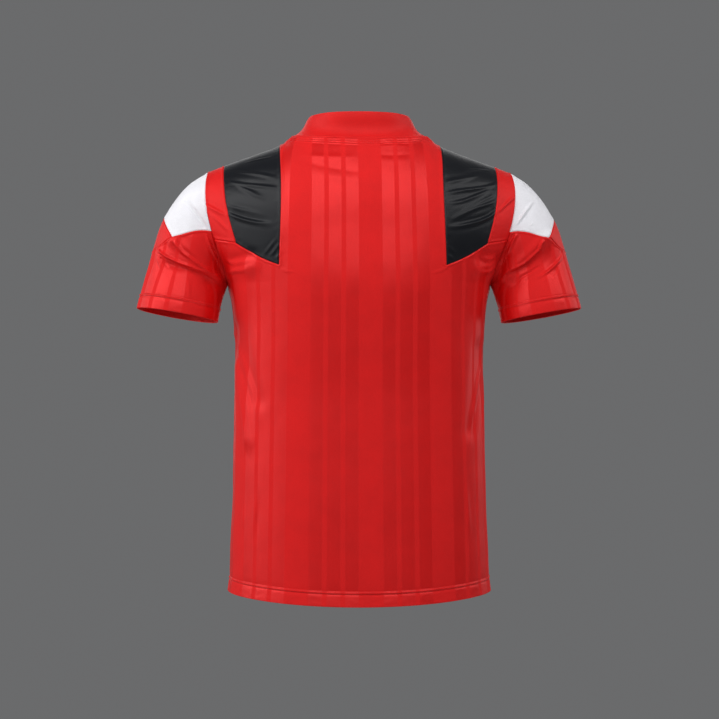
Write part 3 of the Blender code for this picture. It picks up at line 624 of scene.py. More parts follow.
def sleeve_grid():
    """The right sleeve: its points in rings from armhole to cuff, each from under the arm
    up the back, over the top and down the front, with the stem of each cell's piece."""
    degrees = armhole_angles()
    turns = np.concatenate((degrees, degrees[-2::-1]))
    side = np.where(np.arange(len(turns)) < len(degrees), BACK, FRONT)
    angle = np.radians(turns)
    block, cross = block_seam(turns), cross_seam(turns)
    whole = sleeve_point(side, angle, 1.0) - sleeve_point(side, angle, 0.0)
    length = np.linalg.norm(whole, axis=-1)
    band = 1 - BAND_STEPS[-1] / length
    parts = (
        ("sleeve_block", mix(0.0, block, shares(*BLOCK_RINGS)[:, None])),
        ("sleeve_top", mix(block, cross, shares(*TOP_RINGS)[1:, None])),
        ("sleeve", mix(cross, band, shares(*SLEEVE_RINGS, crowd_end=False)[1:, None])),
        ("sleeve", 1 - np.array(BAND_STEPS[-2::-1])[:, None] / length),
    )
    share = np.concatenate([part for _, part in parts])
    stem = np.concatenate([np.full(len(part), name) for name, part in parts])[1:, None]
    points = sleeve_point(side, angle, share)
    points[:, -1] = points[:, 0]
    return points, np.broadcast_to(stem, (len(share) - 1, len(turns) - 1))


def collar_grid(back, front):
    """The collar band on the right, in rows from the neck seam to its top edge, each from
    the middle of the back to the middle of the front."""
    across = columns()
    neck = int(np.argmin(abs(across - NECK_ACROSS)))
    degrees = armhole_angles()
    last = len(back) - len(degrees) + int(np.argmin(abs(degrees - FRONT_SEAM_ANGLE)))
    to_neck = across[:neck + 1] / NECK_ACROSS
    corner = front[-1:last:-1, neck][1:]
    seam = np.concatenate((back[-1, :neck + 1], corner, front[last, neck::-1]))
    enter, leave = COLLAR_CORNER
    turn = np.concatenate((
        enter * to_neck, np.linspace(enter, leave, len(corner) + 2)[1:-1],
        1 - (1 - leave) * to_neck[::-1],
    ))
    top = np.stack([read(COLLAR_TOP, turn, column) for column in (1, 2, 3)], axis=-1)
    share = shares(*COLLAR_ROWS)[:, None, None]
    points = mix(seam, top, share)
    inward = -points * (1, 1, 0)
    inward /= np.linalg.norm(inward, axis=-1, keepdims=True)
    points = points + inward * COLLAR_HOLLOW * np.sin(pi * share) * (1 - share)
    return points, np.full((len(points) - 1, len(turn) - 1), "collar")


# -------------------------------------------------------------------------- the whole skin
def cell_corners(values, flip):
    """The values at the four corners of each cell of a grid, in turn."""
    ring = [values[:-1, :-1], values[:-1, 1:], values[1:, 1:], values[1:, :-1]]
    return np.stack(ring[::-1] if flip else ring, axis=2)


def edges_of(quads):
    """The directed edges round some quads, and the quad that each belongs to."""
    start, end = quads.ravel(), np.roll(quads, -1, axis=1).ravel()
    owner = np.repeat(np.arange(len(quads)), 4)
    real = start != end
    return start[real], end[real], owner[real]


def segments_of(points, ends, spacing):
    """Points spread along segments between numbered points."""
    start, finish = points[ends[:, 0]], points[ends[:, 1]]
    count = np.maximum(np.ceil(np.linalg.norm(finish - start, axis=1) / spacing), 1).astype(int)
    which = np.repeat(np.arange(len(ends)), count)
    place = np.concatenate([np.arange(n) / n for n in count])
    return mix(start[which], finish[which], place[:, None])


def distances(points, marks):
    """The distance from each point to the nearest mark, and that mark's number."""
    tree = KDTree(len(marks))
    for number, mark in enumerate(marks):
        tree.insert(mark, number)
    tree.balance()
    found = [tree.find(point)[1:] for point in points]
    return np.array([d for _, d in found]), np.array([n for n, _ in found])


class Skin:
    """The jersey's outer skin: points shared by the pieces that meet, and quads that each
    belong to one piece and carry their place on the flat cloth."""

    def __init__(self):
        self.grids = []
        body = {side: body_grid(side) for side in (BACK, FRONT)}
        for hand in (LEFT, RIGHT):
            for side, (points, stem) in body.items():
                self.add_grid(("body", side, hand), points, stem, hand, side == FRONT)
            self.add_grid(("sleeve", 0, hand), *sleeve_grid(), hand, True)
            collar = collar_grid(body[BACK][0], body[FRONT][0])
            self.add_grid(("collar", 0, hand), *collar, hand, False)
        self.weld()
        self.find_seams()
        self.fold()

    def add_grid(self, key, points, stem, hand, flip):
        """Keeps a grid of points, mirrored for the left hand, with its flat coordinates."""
        u, v = lengths_along(points, 1), lengths_along(points, 0)
        if key[0] == "sleeve":
            u = u - u[:, [u.shape[1] // 2]]
        elif key[0] == "body":
            u = u / (1 + FLARE * np.maximum(0.0, FLARE_START - points[..., 2]))
        named = np.where(
            np.isin(stem, ("front", "back", "collar", "")), stem,
            np.char.add(stem.astype("U32"), f"_{HANDS[hand]}"),
        )
        flat = np.stack([hand * u, v], axis=-1)
        self.grids.append((key, points * (hand, 1, 1), flat, named, flip != (hand == LEFT)))

    def weld(self):
        """Joins the grids into numbered points and quads."""
        points = np.concatenate([g[1].reshape(-1, 3) for g in self.grids])
        places = np.round(points / WELD).astype(np.int64)
        _, first, number = np.unique(places, axis=0, return_index=True, return_inverse=True)
        self.points, number = points[first], number.ravel()
        quads, flats, names, start = [], [], [], 0
        self.index = {}
        for key, grid, flat, named, flip in self.grids:
            count = grid.shape[0] * grid.shape[1]
            index = number[start:start + count].reshape(grid.shape[:2])
            self.index[key] = index
            start += count
            keep = named != ""
            quads.append(cell_corners(index, flip)[keep])
            flats.append(cell_corners(flat, flip)[keep])
            names.append(named[keep])
        quads, flats, names = np.concatenate(quads), np.concatenate(flats), np.concatenate(names)
        whole = (quads != np.roll(quads, 1, axis=1)).sum(axis=1) > 2
        self.quads, self.flats, self.names = quads[whole], flats[whole], names[whole]

    def find_seams(self):
        """The distance of every point from the nearest seam, from the garment's edge and
        from the neck seam."""
        start, end, owner = edges_of(self.quads)
        size = len(self.points)
        code = np.minimum(start, end) * size + np.maximum(start, end)
        order = np.argsort(code, kind="stable")
        code, owner, start, end = code[order], owner[order], start[order], end[order]
        paired = np.flatnonzero(code[1:] == code[:-1])
        single = np.ones(len(code), bool)
        single[paired] = single[paired + 1] = False
        parted = paired[self.names[owner[paired]] != self.names[owner[paired + 1]]]
        self.open_edges = set(zip(start[single], end[single]))
        seams = np.stack([start[parted], end[parted]], axis=1)
        rims = np.stack([start[single], end[single]], axis=1)
        self.seam_gap, _ = distances(self.points, segments_of(self.points, seams, SEAM_MARK))
        marks = segments_of(self.points, rims, EDGE_MARK)
        self.edge_gap, nearest = distances(self.points, marks)
        self.at_collar = marks[nearest][:, 2] > ARMHOLE_TOP[1]
        self.is_collar = np.zeros(size, bool)
        self.is_collar[np.unique(self.quads[self.names == "collar"])] = True
        at_neck = seams[self.is_collar[seams].all(axis=1)]
        self.neck_gap, _ = distances(self.points, segments_of(self.points, at_neck, SEAM_MARK))

    def find_normals(self):
        """The direction in which the skin faces at every point."""
        a, b, c, d = (self.points[self.quads[:, k]] for k in range(4))
        face = np.cross(c - a, d - b)
        total = np.zeros_like(self.points)
        for corner in range(4):
            np.add.at(total, self.quads[:, corner], face)
        return total / np.linalg.norm(total, axis=1, keepdims=True)

    def fold(self):
        """Moves the skin out and in: the large folds, then creases, bands and unevenness."""
        strength = bpy.context.scene.jersey_cloth.fold_strength
        normals = self.find_normals()
        self.points = self.points + normals * (strength * large_folds(self.points))[:, None]
        normals = self.find_normals()
        height = strength * sum(crease(self.points, normals, *row) for row in CREASES)
        band = ~self.at_collar & (self.edge_gap < 2 * BAND_DEPTH)
        still = smooth(self.edge_gap / (2 * BAND_DEPTH))
        height = height * np.where(self.at_collar, 1.0, mix(CREASING_AT_EDGE, 1.0, still))
        height = height + np.where(band, hem_band(self.points, self.edge_gap), 0.0)
        height = height + np.where(self.is_collar, 0.0, neck_band(self.points, self.neck_gap))
        height = height + unevenness(self.points)
        self.points = self.points + normals * height[:, None]
        self.normals = self.find_normals()


@lru_cache(maxsize=None)
def jersey_skin():
    """The one skin that all pieces are cut from."""
    return Skin()


# -------------------------------------------------------------------------- folds and bands
def large_folds(points):
    """How far the cloth stands out from its smooth form because of its largest folds."""
    total = np.zeros(len(points))
    place = points[:, [0, 2]]
    for side, start_x, start_z, end_x, end_z, half_width, height in FOLDS:
        start, along = np.array([start_x, start_z]), np.array([end_x - start_x, end_z - start_z])
        share = np.clip((place - start) @ along / (along @ along), 0.0, 1.0)
        gap = np.linalg.norm(place - start - share[:, None] * along, axis=1)
        fade = np.clip(side * points[:, 1] / FOLD_FADE, 0.0, 1.0)
        total += height * bell(gap, half_width) * fade
    return total


def smooth_route(route):
    """A curve through a crease's points, read at even steps."""
    route = np.asarray(route, float) * MM
    at = np.concatenate(([0.0], np.cumsum(np.linalg.norm(np.diff(route, axis=0), axis=1))))
    table = np.column_stack([at, route])
    places = np.linspace(0.0, at[-1], max(3, round(at[-1] / CREASE_STEP) + 1))
    return np.column_stack([read(table, places, 1), read(table, places, 2)])


def seen_from(azimuth):
    """The directions to the right, up and away, for an eye that looks from an azimuth."""
    a = radians(azimuth)
    return np.array([[cos(a), sin(a), 0.0], [0.0, 0.0, 1.0], [-sin(a), cos(a), 0.0]])


def around(seen, route, margin):
    """Which points lie within a margin round a route, as the eye sees them."""
    low, high = route.min(axis=0) - margin, route.max(axis=0) + margin
    return (seen[:, :2] > low).all(axis=1) & (seen[:, :2] < high).all(axis=1)


def lay_on_skin(seen, facing, route):
    """The depth and the normal of the nearest cloth behind each point of a route."""
    near = around(seen, route, ROUTE_MARGIN) & (facing[:, 2] < TURNED_AWAY)
    seen, facing = seen[near], facing[near]
    depths, directions = [], []
    for place in route:
        gap = np.linalg.norm(seen[:, :2] - place, axis=1)
        reach = max(gap.min() + ROUTE_REACH, LEAST_REACH)
        weight = np.where(gap < reach, bell(gap, reach / 2), 0.0)
        weight = weight * (seen[:, 2] < seen[weight > 0, 2].min() + CREASE_DEPTH)
        depths.append(weight @ seen[:, 2] / weight.sum())
        directions.append(weight @ facing)
    directions = np.array(directions)
    return np.array(depths), directions / np.linalg.norm(directions, axis=1, keepdims=True)


def crease_profile(place, lean):
    """A crease's height at places across it, in half widths, as a share of its crest's: the
    crest, a narrow hollow on both sides and the long slope on the side that it leans to."""
    crest = np.exp(-CREST_FALL * (np.hypot(place, CREST_ROUNDING) - CREST_ROUNDING))
    beside = EVEN_HOLLOW * bell(np.abs(place) - HOLLOW_PLACE, HOLLOW_WIDTH)
    past = np.sign(lean) * place - SLOPE_START
    slope = np.exp(-np.maximum(past, 0.0) / (SLOPE_LENGTH * max(1, abs(lean))))
    slope = (lean != 0) * LEANING_HOLLOW * slope * smooth(1 + past / SLOPE_START)
    return crest - beside - slope


def crease(points, normals, azimuth, start_width, end_width, height, lean, peak, route):
    """How far each point stands out because of one crease. The distance from its route is
    measured along the cloth, which is tilted to the eye as the cloth under the route is."""
    view = seen_from(azimuth)
    seen, facing = points @ view.T, normals @ view.T
    route = smooth_route(route)
    deep, tilt = lay_on_skin(seen, facing, route)
    reach = CREASE_REACH * max(1, abs(lean)) * max(start_width, end_width) * MM
    near = np.flatnonzero(around(seen, route, reach))
    run = np.diff(route, axis=0)
    offset = seen[near, None, :2] - route[None, :-1]
    share = np.clip((offset * run).sum(axis=2) / (run ** 2).sum(axis=1), 0.0, 1.0)
    gap = offset - share[..., None] * run
    best = np.linalg.norm(gap, axis=2).argmin(axis=1)
    row = np.arange(len(near))
    gap, share = gap[row, best], share[row, best]
    tilt = mix(tilt[best], tilt[best + 1], share[:, None])
    deep = mix(deep[best], deep[best + 1], share)
    sunk = (gap * tilt[:, :2]).sum(axis=1) / np.maximum(-tilt[:, 2], STEEPEST)
    side = np.sign(run[best, 0] * gap[:, 1] - run[best, 1] * gap[:, 0])
    along = (best + share) / len(run)
    half_width = mix(start_width, end_width, along) * MM
    place = side * np.hypot(np.linalg.norm(gap, axis=1), sunk) / half_width
    taper = np.sqrt(smooth(along / peak) * smooth((1 - along) / (1 - peak)))
    same_cloth = smooth((facing[near] * tilt).sum(axis=1) / SAME_CLOTH)
    same_cloth = same_cloth * bell(seen[near, 2] - deep - sunk, CREASE_DEPTH)
    total = np.zeros(len(points))
    total[near] = height * MM * crease_profile(place, lean) * taper * same_cloth
    return total


def uneven(points, scale, seed):
    """Smooth noise from -1 to 1 at some points, with bumps of about a scale's size."""
    return np.array([noise.noise(Vector(p) / scale + Vector((seed, 0, 0))) for p in points])


def unevenness(points):
    """The slight waviness of cloth that hangs free."""
    return sum(height * uneven(points, size, seed) for height, size, seed in UNEVENNESS)


def hem_band(points, gap):
    """The turned and stitched hem and cuffs: doubled cloth, slightly crumpled, with a rib
    between the two rows of stitches along its top."""
    inside = smooth((BAND_END - gap) / SWELL_END)
    crumple = np.zeros(len(points))
    near = np.flatnonzero(gap < BAND_DEPTH)
    crumple[near] = uneven(points[near] * CRUMPLE_SQUASH, CRUMPLE_SIZE, CRUMPLE_SEED)
    crumple[near] *= np.sin(pi * gap[near] / BAND_DEPTH)
    rib = bell(gap - BAND_DEPTH, RIB_WIDTH)
    below = bell(gap - BAND_DEPTH + RIB_GROOVE, RIB_WIDTH)
    above = bell(gap - BAND_DEPTH - RIB_GROOVE, RIB_WIDTH)
    at_hem = points[:, 2] < HEM_SIDE_HEIGHT + 2 * BAND_DEPTH
    flare = BAND_FLARE * np.clip(1 - gap / BAND_DEPTH, 0.0, 1.0) * at_hem
    return (
        BAND_SWELL * inside + flare + CRUMPLE * crumple
        + RIB_HEIGHT * (rib - GROOVE_BELOW * below - GROOVE_ABOVE * above)
    )


def neck_band(points, gap):
    """The taped seam round the neck: two rows of stitches sink into it, and the cloth
    puckers up between and beside them."""
    sunk = sum(bell(gap - row, NECK_ROW_WIDTH) for row in NECK_ROWS)
    raised = sum(bell(gap - row, NECK_PUCKER_WIDTH) for row in NECK_PUCKERS)
    pucker = 1 + NECK_UNEVENNESS * uneven(points, NECK_PUCKER_SIZE, NECK_SEED)
    return NECK_RELIEF * (raised * pucker - sunk)


# ------------------------------------------------------------------------ pieces as shells
def seam_form(name, points, gap):
    """How a piece's cloth sinks into its seams, stands up beside them and puckers there."""
    raised = 1.0 if name.startswith(RAISED_AT_SEAMS) else LOW_RIDGE
    groove = -SEAM_DEPTH * bell(gap, SEAM_HALF_WIDTH)
    ridge = raised * SEAM_RIDGE * bell(gap - SEAM_RIDGE_PLACE, SEAM_RIDGE_WIDTH)
    pucker = uneven(points, PUCKER_SIZE, PUCKER_SEED) * bell(gap - PUCKER_REACH, PUCKER_REACH)
    return groove + ridge + PUCKER_HEIGHT * pucker * smooth(gap / PUCKER_REACH)


def shell_thickness(name, skin, used):
    """Thickness of the cloth at some points: doubled in the turned hems and the collar."""
    sizes = bpy.context.scene.jersey_cloth
    if name == "collar":
        return np.full(len(used), sizes.collar_thickness)
    doubled = smooth((BAND_END - skin.edge_gap[used]) / DOUBLING_END)
    return sizes.thickness * (1 + BAND_DOUBLING * doubled * ~skin.at_collar[used])


def faces_of_sides(local, flats, count):
    """The faces of a shell's outer and inner side, and their places on the flat cloth."""
    faces, places = [], []
    for ring, flat in zip(local.tolist(), flats.tolist()):
        kept = [k for k in range(4) if ring[k] != ring[k - 1]]
        ring, flat = [ring[k] for k in kept], [flat[k] for k in kept]
        faces += [ring, [n + count for n in reversed(ring)]]
        places += [flat, flat[::-1]]
    return faces, places


def round_edges(skin, used, open_rims, outer, inner):
    """Points that round a shell's open edges, and their numbers beside each edge's point."""
    outward_at, extra, rounding_at = {}, [], {}
    for a, b in open_rims:
        along = skin.points[used[b]] - skin.points[used[a]]
        for n in (a, b):
            outward_at.setdefault(n, []).append(np.cross(along, skin.normals[used[n]]))
    for n, directions in outward_at.items():
        outward = np.sum(directions, axis=0)
        outward /= np.linalg.norm(outward)
        centre, half = (outer[n] + inner[n]) / 2, (outer[n] - inner[n]) / 2
        radius = np.linalg.norm(half)
        rounding_at[n] = [2 * len(used) + len(extra) + k for k in range(len(EDGE_ROUNDING))]
        extra += [centre + half * cos(t) + outward * radius * sin(t) for t in EDGE_ROUNDING]
    return extra, rounding_at


def faces_of_edges(rims, rounding_at, flat_of):
    """The faces that close a shell along its edges, and their places on the flat cloth."""
    faces, places, count = [], [], len(flat_of)
    for a, b, is_open in rims:
        down_a = [a, *rounding_at.get(a, ()), a + count]
        down_b = [b, *rounding_at.get(b, ()), b + count]
        rings = [down_b[:1] + down_a + down_b[:0:-1]]
        if is_open:
            steps = zip(down_b, down_a, down_a[1:], down_b[1:])
            rings = [list(ring) for ring in steps]
        flat = {**{n: flat_of[a] for n in down_a}, **{n: flat_of[b] for n in down_b}}
        faces += rings
        places += [[flat[n] for n in ring] for ring in rings]
    return faces, places


def make_shell(name):
    """A piece as a closed thin shell: its outer face, its inner face and its edges, which
    are rounded where the garment is open."""
    skin = jersey_skin()
    mine = np.flatnonzero(skin.names == name)
    quads, flats = skin.quads[mine], skin.flats[mine]
    used, local = np.unique(quads, return_inverse=True)
    local = local.reshape(quads.shape)
    normals = skin.normals[used]
    relief = seam_form(name, skin.points[used], skin.seam_gap[used])
    outer = skin.points[used] + normals * relief[:, None]
    inner = outer - normals * shell_thickness(name, skin, used)[:, None]

    start, end, _ = edges_of(quads)
    code, back = start * len(skin.points) + end, end * len(skin.points) + start
    border = np.flatnonzero(~np.isin(code, back))
    place_of = np.full(len(skin.points), -1)
    place_of[used] = np.arange(len(used))
    rims = [
        (place_of[start[k]], place_of[end[k]], (start[k], end[k]) in skin.open_edges)
        for k in border
    ]
    open_rims = [(a, b) for a, b, is_open in rims if is_open]
    extra, rounding_at = round_edges(skin, used, open_rims, outer, inner)
    flat_of = np.zeros((len(used), 2))
    flat_of[local.ravel()] = flats.reshape(-1, 2)
    side_faces, side_places = faces_of_sides(local, flats, len(used))
    edge_faces, edge_places = faces_of_edges(rims, rounding_at, flat_of)
    faces, places = side_faces + edge_faces, side_places + edge_places

    mesh = bpy.data.meshes.new(name)
    points = np.concatenate([outer, inner, np.array(extra).reshape(-1, 3)])
    mesh.from_pydata(points.tolist(), [], [[int(n) for n in ring] for ring in faces])
    cloth = mesh.uv_layers.new(name="flat_cloth")
    cloth.data.foreach_set("uv", np.concatenate([np.asarray(p, float) for p in places]).ravel())
    mesh.shade_smooth()
    mesh.set_sharp_from_angle(angle=SHARP_ANGLE)
    mesh.validate()
    piece = bpy.data.objects.new(f"{name}_cloth", mesh)
    bpy.context.scene.collection.objects.link(piece)
    return piece


# ----------------------------------------------------------------------------- materials
def add(tree, kind, links=(), **settings):
    """Adds a node with its settings, and gives or links its inputs."""
    node = tree.nodes.new(kind)
    for setting, value in settings.items():
        setattr(node, setting, value)
    for socket, source in dict(links).items():
        if isinstance(source, bpy.types.NodeSocket):
            tree.links.new(source, node.inputs[socket])
        else:
            node.inputs[socket].default_value = source
    return node


def start_material(name, tint, roughness, sheen, specular, ior=PLAIN_IOR):
    """A cloth material with its shader, and the flat cloth's coordinates in metres. The
    tint is the colour that light thrown back by the loops takes."""
    material = bpy.data.materials.new(name)
    material.use_nodes = True
    tree = material.node_tree
    shader = tree.nodes["Principled BSDF"]
    looks = {
        "Roughness": roughness, "Sheen Weight": sheen, "Sheen Roughness": SHEEN_ROUGHNESS,
        "Sheen Tint": tint, "Specular IOR Level": specular, "Specular Tint": tint, "IOR": ior,
    }
    for socket, value in looks.items():
        shader.inputs[socket].default_value = value
    cloth = add(tree, "ShaderNodeUVMap", uv_map="flat_cloth")
    split = add(tree, "ShaderNodeSeparateXYZ", {0: cloth.outputs[0]})
    return material, tree, shader, split.outputs[0], split.outputs[1]


def knit_height(tree, u, v, wale, course):
    """Height of a knit's loops: legs that lean up and out from the middle of each wale. A
    wale and a course are drawn about twice as coarse as real ones, so that they show."""
    across = add(tree, "ShaderNodeMath", {0: u, 1: 1 / wale}, operation="MULTIPLY").outputs[0]
    swing = add(tree, "ShaderNodeMath", {0: across, 1: 0.5}, operation="PINGPONG").outputs[0]
    lean = add(tree, "ShaderNodeMath", {0: swing, 1: LOOP_LEAN}, operation="MULTIPLY").outputs[0]
    climb = add(tree, "ShaderNodeMath", {0: v, 1: 1 / course, 2: lean}, operation="MULTIPLY_ADD")
    loop = add(tree, "ShaderNodeMath", {0: climb.outputs[0], 1: 0.5}, operation="PINGPONG").outputs[0]
    return add(tree, "ShaderNodeMath", {0: loop, 1: swing}, operation="ADD").outputs[0]


def finish_cloth(tree, shader, colour, height, relief):
    """Links a cloth's colour, made slightly uneven, and its relief to its shader."""
    place = add(tree, "ShaderNodeTexCoord").outputs["Object"]
    cloud = add(tree, "ShaderNodeTexNoise", {"Vector": place, "Scale": CLOUD_SCALE, "Detail": 3.0})
    grain = add(tree, "ShaderNodeTexNoise", {"Vector": place, "Scale": GRAIN_SCALE, "Detail": 1.0})
    both = add(tree, "ShaderNodeMath", {0: cloud.outputs[0], 1: grain.outputs[0]}, operation="ADD")
    value = add(tree, "ShaderNodeMapRange", {0: both.outputs[0], **SHADES})
    uneven_colour = add(tree, "ShaderNodeHueSaturation", {"Color": colour, "Value": value.outputs[0]})
    tree.links.new(uneven_colour.outputs[0], shader.inputs["Base Color"])
    bump = add(tree, "ShaderNodeBump", {
        "Height": height, "Strength": BUMP_STRENGTH, "Distance": relief})
    tree.links.new(bump.outputs[0], shader.inputs["Normal"])


def plain_knit(name, colour, wale=1.3 * MM, course=1.0 * MM, relief=0.12 * MM, **looks):
    """A knit of one colour. The looks are those that start_material takes."""
    material, tree, shader, u, v = start_material(name, **looks)
    flat = add(tree, "ShaderNodeRGB")
    flat.outputs[0].default_value = colour
    finish_cloth(tree, shader, flat.outputs[0], knit_height(tree, u, v, wale, course), relief)
    return material


def striped_jacquard():
    """Polyester jacquard knit: satin stripes in threes on a matt ground. The satin face is
    smooth and catches the light, and the ground is a coarser, duller knit."""
    stripes, colours = bpy.context.scene.jersey_stripes, bpy.context.scene.jersey_colours
    material, tree, shader, u, v = start_material(
        "jacquard_knit_tonal_stripe", tint=RED_TINT, roughness=MATT_ROUGHNESS, sheen=0.04,
        specular=0.90, ior=RED_IOR)
    width, repeat = stripes.satin_width, stripes.repeat
    pair = width + stripes.gap_width
    group = 3 * width + 2 * stripes.gap_width
    shifted = add(tree, "ShaderNodeMath", {0: u, 1: -stripes.start}, operation="ADD").outputs[0]
    place = add(tree, "ShaderNodeMath", {0: shifted, 1: 0.0, 2: repeat}, operation="WRAP").outputs[0]
    stripe = add(tree, "ShaderNodeMath", {0: place, 1: pair}, operation="MODULO").outputs[0]
    enter = add(tree, "ShaderNodeMapRange", {
        0: stripe, 1: 0.0, 2: STRIPE_EDGE, 3: 0.0, 4: 1.0}).outputs[0]
    leave = add(tree, "ShaderNodeMapRange", {
        0: stripe, 1: width - STRIPE_EDGE, 2: width, 3: 1.0, 4: 0.0}).outputs[0]
    within = add(tree, "ShaderNodeMath", {0: place, 1: group}, operation="LESS_THAN").outputs[0]
    one = add(tree, "ShaderNodeMath", {0: enter, 1: leave}, operation="MULTIPLY").outputs[0]
    satin = add(tree, "ShaderNodeMath", {0: one, 1: within}, operation="MULTIPLY").outputs[0]
    colour = add(tree, "ShaderNodeMix", {
        0: satin, 6: colours.matt_red, 7: colours.satin_red}, data_type="RGBA").outputs[2]
    gloss = add(tree, "ShaderNodeMapRange", {
        0: satin, 3: MATT_ROUGHNESS, 4: SATIN_ROUGHNESS}).outputs[0]
    tree.links.new(gloss, shader.inputs["Roughness"])
    fine = knit_height(tree, u, v, wale=1.0 * MM, course=0.8 * MM)
    coarse = knit_height(tree, u, v, wale=2.1 * MM, course=1.5 * MM)
    flatter = add(tree, "ShaderNodeMath", {0: fine, 1: SATIN_RELIEF}, operation="MULTIPLY").outputs[0]
    height = add(tree, "ShaderNodeMix", {0: satin, 2: coarse, 3: flatter}, data_type="FLOAT").outputs[0]
    finish_cloth(tree, shader, colour, height, relief=0.16 * MM)
    return material


def thread_material(name, colour):
    """Spun polyester thread: its twist shows as fine light and dark bands."""
    material = bpy.data.materials.new(name)
    material.use_nodes = True
    tree = material.node_tree
    shader = tree.nodes["Principled BSDF"]
    shader.inputs["Roughness"].default_value = THREAD_ROUGHNESS
    shader.inputs["Sheen Weight"].default_value = THREAD_SHEEN
    place = add(tree, "ShaderNodeTexCoord").outputs["Object"]
    twist = add(tree, "ShaderNodeTexWave", {"Vector": place, "Scale": TWIST_SCALE, "Distortion": 1.0})
    value = add(tree, "ShaderNodeMapRange", {0: twist.outputs["Fac"], **TWIST_SHADES})
    shade = add(tree, "ShaderNodeHueSaturation", {"Color": colour, "Value": value.outputs[0]})
    tree.links.new(shade.outputs[0], shader.inputs["Base Color"])
    return material


# ------------------------------------------------------------------------------ stitching
def stitch_tree():
    """Geometry nodes that lay one small bead of thread for each stitch along a line."""
    tree = bpy.data.node_groups.new("stitches_along_line", "GeometryNodeTree")
    face = tree.interface
    face.new_socket("Line", in_out="INPUT", socket_type="NodeSocketGeometry")
    for label in ("Pitch", "Length", "Width", "Height"):
        face.new_socket(label, in_out="INPUT", socket_type="NodeSocketFloat")
    face.new_socket("Thread", in_out="INPUT", socket_type="NodeSocketMaterial")
    face.new_socket("Stitches", in_out="OUTPUT", socket_type="NodeSocketGeometry")
    given = add(tree, "NodeGroupInput").outputs
    curve = add(tree, "GeometryNodeMeshToCurve", {0: given["Line"]})
    even = add(tree, "GeometryNodeResampleCurve", {
        "Curve": curve.outputs[0], "Length": given["Pitch"]}, mode="LENGTH")
    tangent = add(tree, "GeometryNodeInputTangent").outputs[0]
    out = add(tree, "GeometryNodeInputNamedAttribute", {"Name": "out"}, data_type="FLOAT_VECTOR")
    run = add(tree, "FunctionNodeAlignRotationToVector", {"Vector": tangent}, axis="X")
    turn = add(tree, "FunctionNodeAlignRotationToVector", {
        "Rotation": run.outputs[0], "Vector": out.outputs[0]}, axis="Z", pivot_axis="X")
    size = add(tree, "ShaderNodeCombineXYZ", {
        0: given["Length"], 1: given["Width"], 2: given["Height"]}).outputs[0]
    bead = add(tree, "GeometryNodeMeshUVSphere", {"Segments": 8, "Rings": 5, "Radius": 0.5})
    shaped = add(tree, "GeometryNodeTransform", {"Geometry": bead.outputs[0], "Scale": size})
    laid = add(tree, "GeometryNodeInstanceOnPoints", {
        "Points": even.outputs[0], "Instance": shaped.outputs[0], "Rotation": turn.outputs[0]})
    real = add(tree, "GeometryNodeRealizeInstances", {0: laid.outputs[0]})
    smooth_shade = add(tree, "GeometryNodeSetShadeSmooth", {0: real.outputs[0]})
    thread = add(tree, "GeometryNodeSetMaterial", {
        "Geometry": smooth_shade.outputs[0], "Material": given["Thread"]})
    add(tree, "NodeGroupOutput", {0: thread.outputs[0]})
    return tree


def line_at(key, gap, level, from_last):
    """Points and normals where a gap first passes a level on each column of a grid, from
    its first row on or from its last."""
    skin = jersey_skin()
    index = skin.index[key][::-1] if from_last else skin.index[key]
    value = gap[index]
    found = []
    for column in range(index.shape[1]):
        crossing = np.flatnonzero((value[:-1, column] < level) & (value[1:, column] >= level))
        if len(crossing) == 0:
            continue
        row = crossing[0]
        low, high = value[row, column], value[row + 1, column]
        share = (level - low) / (high - low)
        a, b = index[row, column], index[row + 1, column]
        point = mix(skin.points[a], skin.points[b], share)
        found.append((point, mix(skin.normals[a], skin.normals[b], share)))
    return found


def body_loop(gap, level, from_last):
    """A closed line round the body or neck at one distance from an edge or seam."""
    loop = []
    for side, hand, backwards in (
        (BACK, RIGHT, False), (FRONT, RIGHT, True), (FRONT, LEFT, False), (BACK, LEFT, True),
    ):
        found = line_at(("body", side, hand), gap, level, from_last)
        loop += found[::-1] if backwards else found
    return [p for k, p in enumerate(loop) if np.linalg.norm(p[0] - loop[k - 1][0]) > LEAST_STEP]


def lay_stitches(name, loops, tree, thread):
    """Rows of stitches along closed lines, as one mesh."""
    sizes = bpy.context.scene.jersey_stitches
    points, edges, normals = [], [], []
    for loop in loops:
        start = len(points)
        points += [point + normal * sizes.thread / 4 for point, normal in loop]
        normals += [normal for _, normal in loop]
        edges += [(start + k, start + (k + 1) % len(loop)) for k in range(len(loop))]
    mesh = bpy.data.meshes.new(name)
    mesh.from_pydata([tuple(p) for p in points], edges, [])
    out = mesh.attributes.new("out", "FLOAT_VECTOR", "POINT")
    out.data.foreach_set("vector", np.array(normals, np.float32).ravel())
    rows = bpy.data.objects.new(name, mesh)
    bpy.context.scene.collection.objects.link(rows)
    modifier = rows.modifiers.new("stitches", "NODES")
    modifier.node_group = tree
    given = {
        "Pitch": sizes.pitch, "Length": sizes.length, "Width": sizes.thread,
        "Height": THREAD_HEIGHT * sizes.thread, "Thread": thread,
    }
    for item in tree.interface.items_tree:
        if item.in_out == "INPUT" and item.name in given:
            modifier[item.identifier] = given[item.name]
    evaluated = rows.evaluated_get(bpy.context.evaluated_depsgraph_get())
    made = bpy.data.meshes.new_from_object(evaluated)
    rows.modifiers.clear()
    rows.data = made
    made.name = name
    made.materials.clear()
    made.materials.append(thread)
    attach(rows, "root")


def place_piece(name, material):
    """Builds one cloth piece, gives it its material and stands it in for its frame node."""
    piece = make_shell(name)
    piece.data.materials.append(material)
    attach(piece, "root")
    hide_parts(name)


# ------------------------------------------------------------------------------- settings
LENGTH = {"precision": 4, "subtype": "DISTANCE", "unit": "LENGTH"}
COLOUR = {"size": 4, "min": 0, "max": 1, "subtype": "COLOR"}


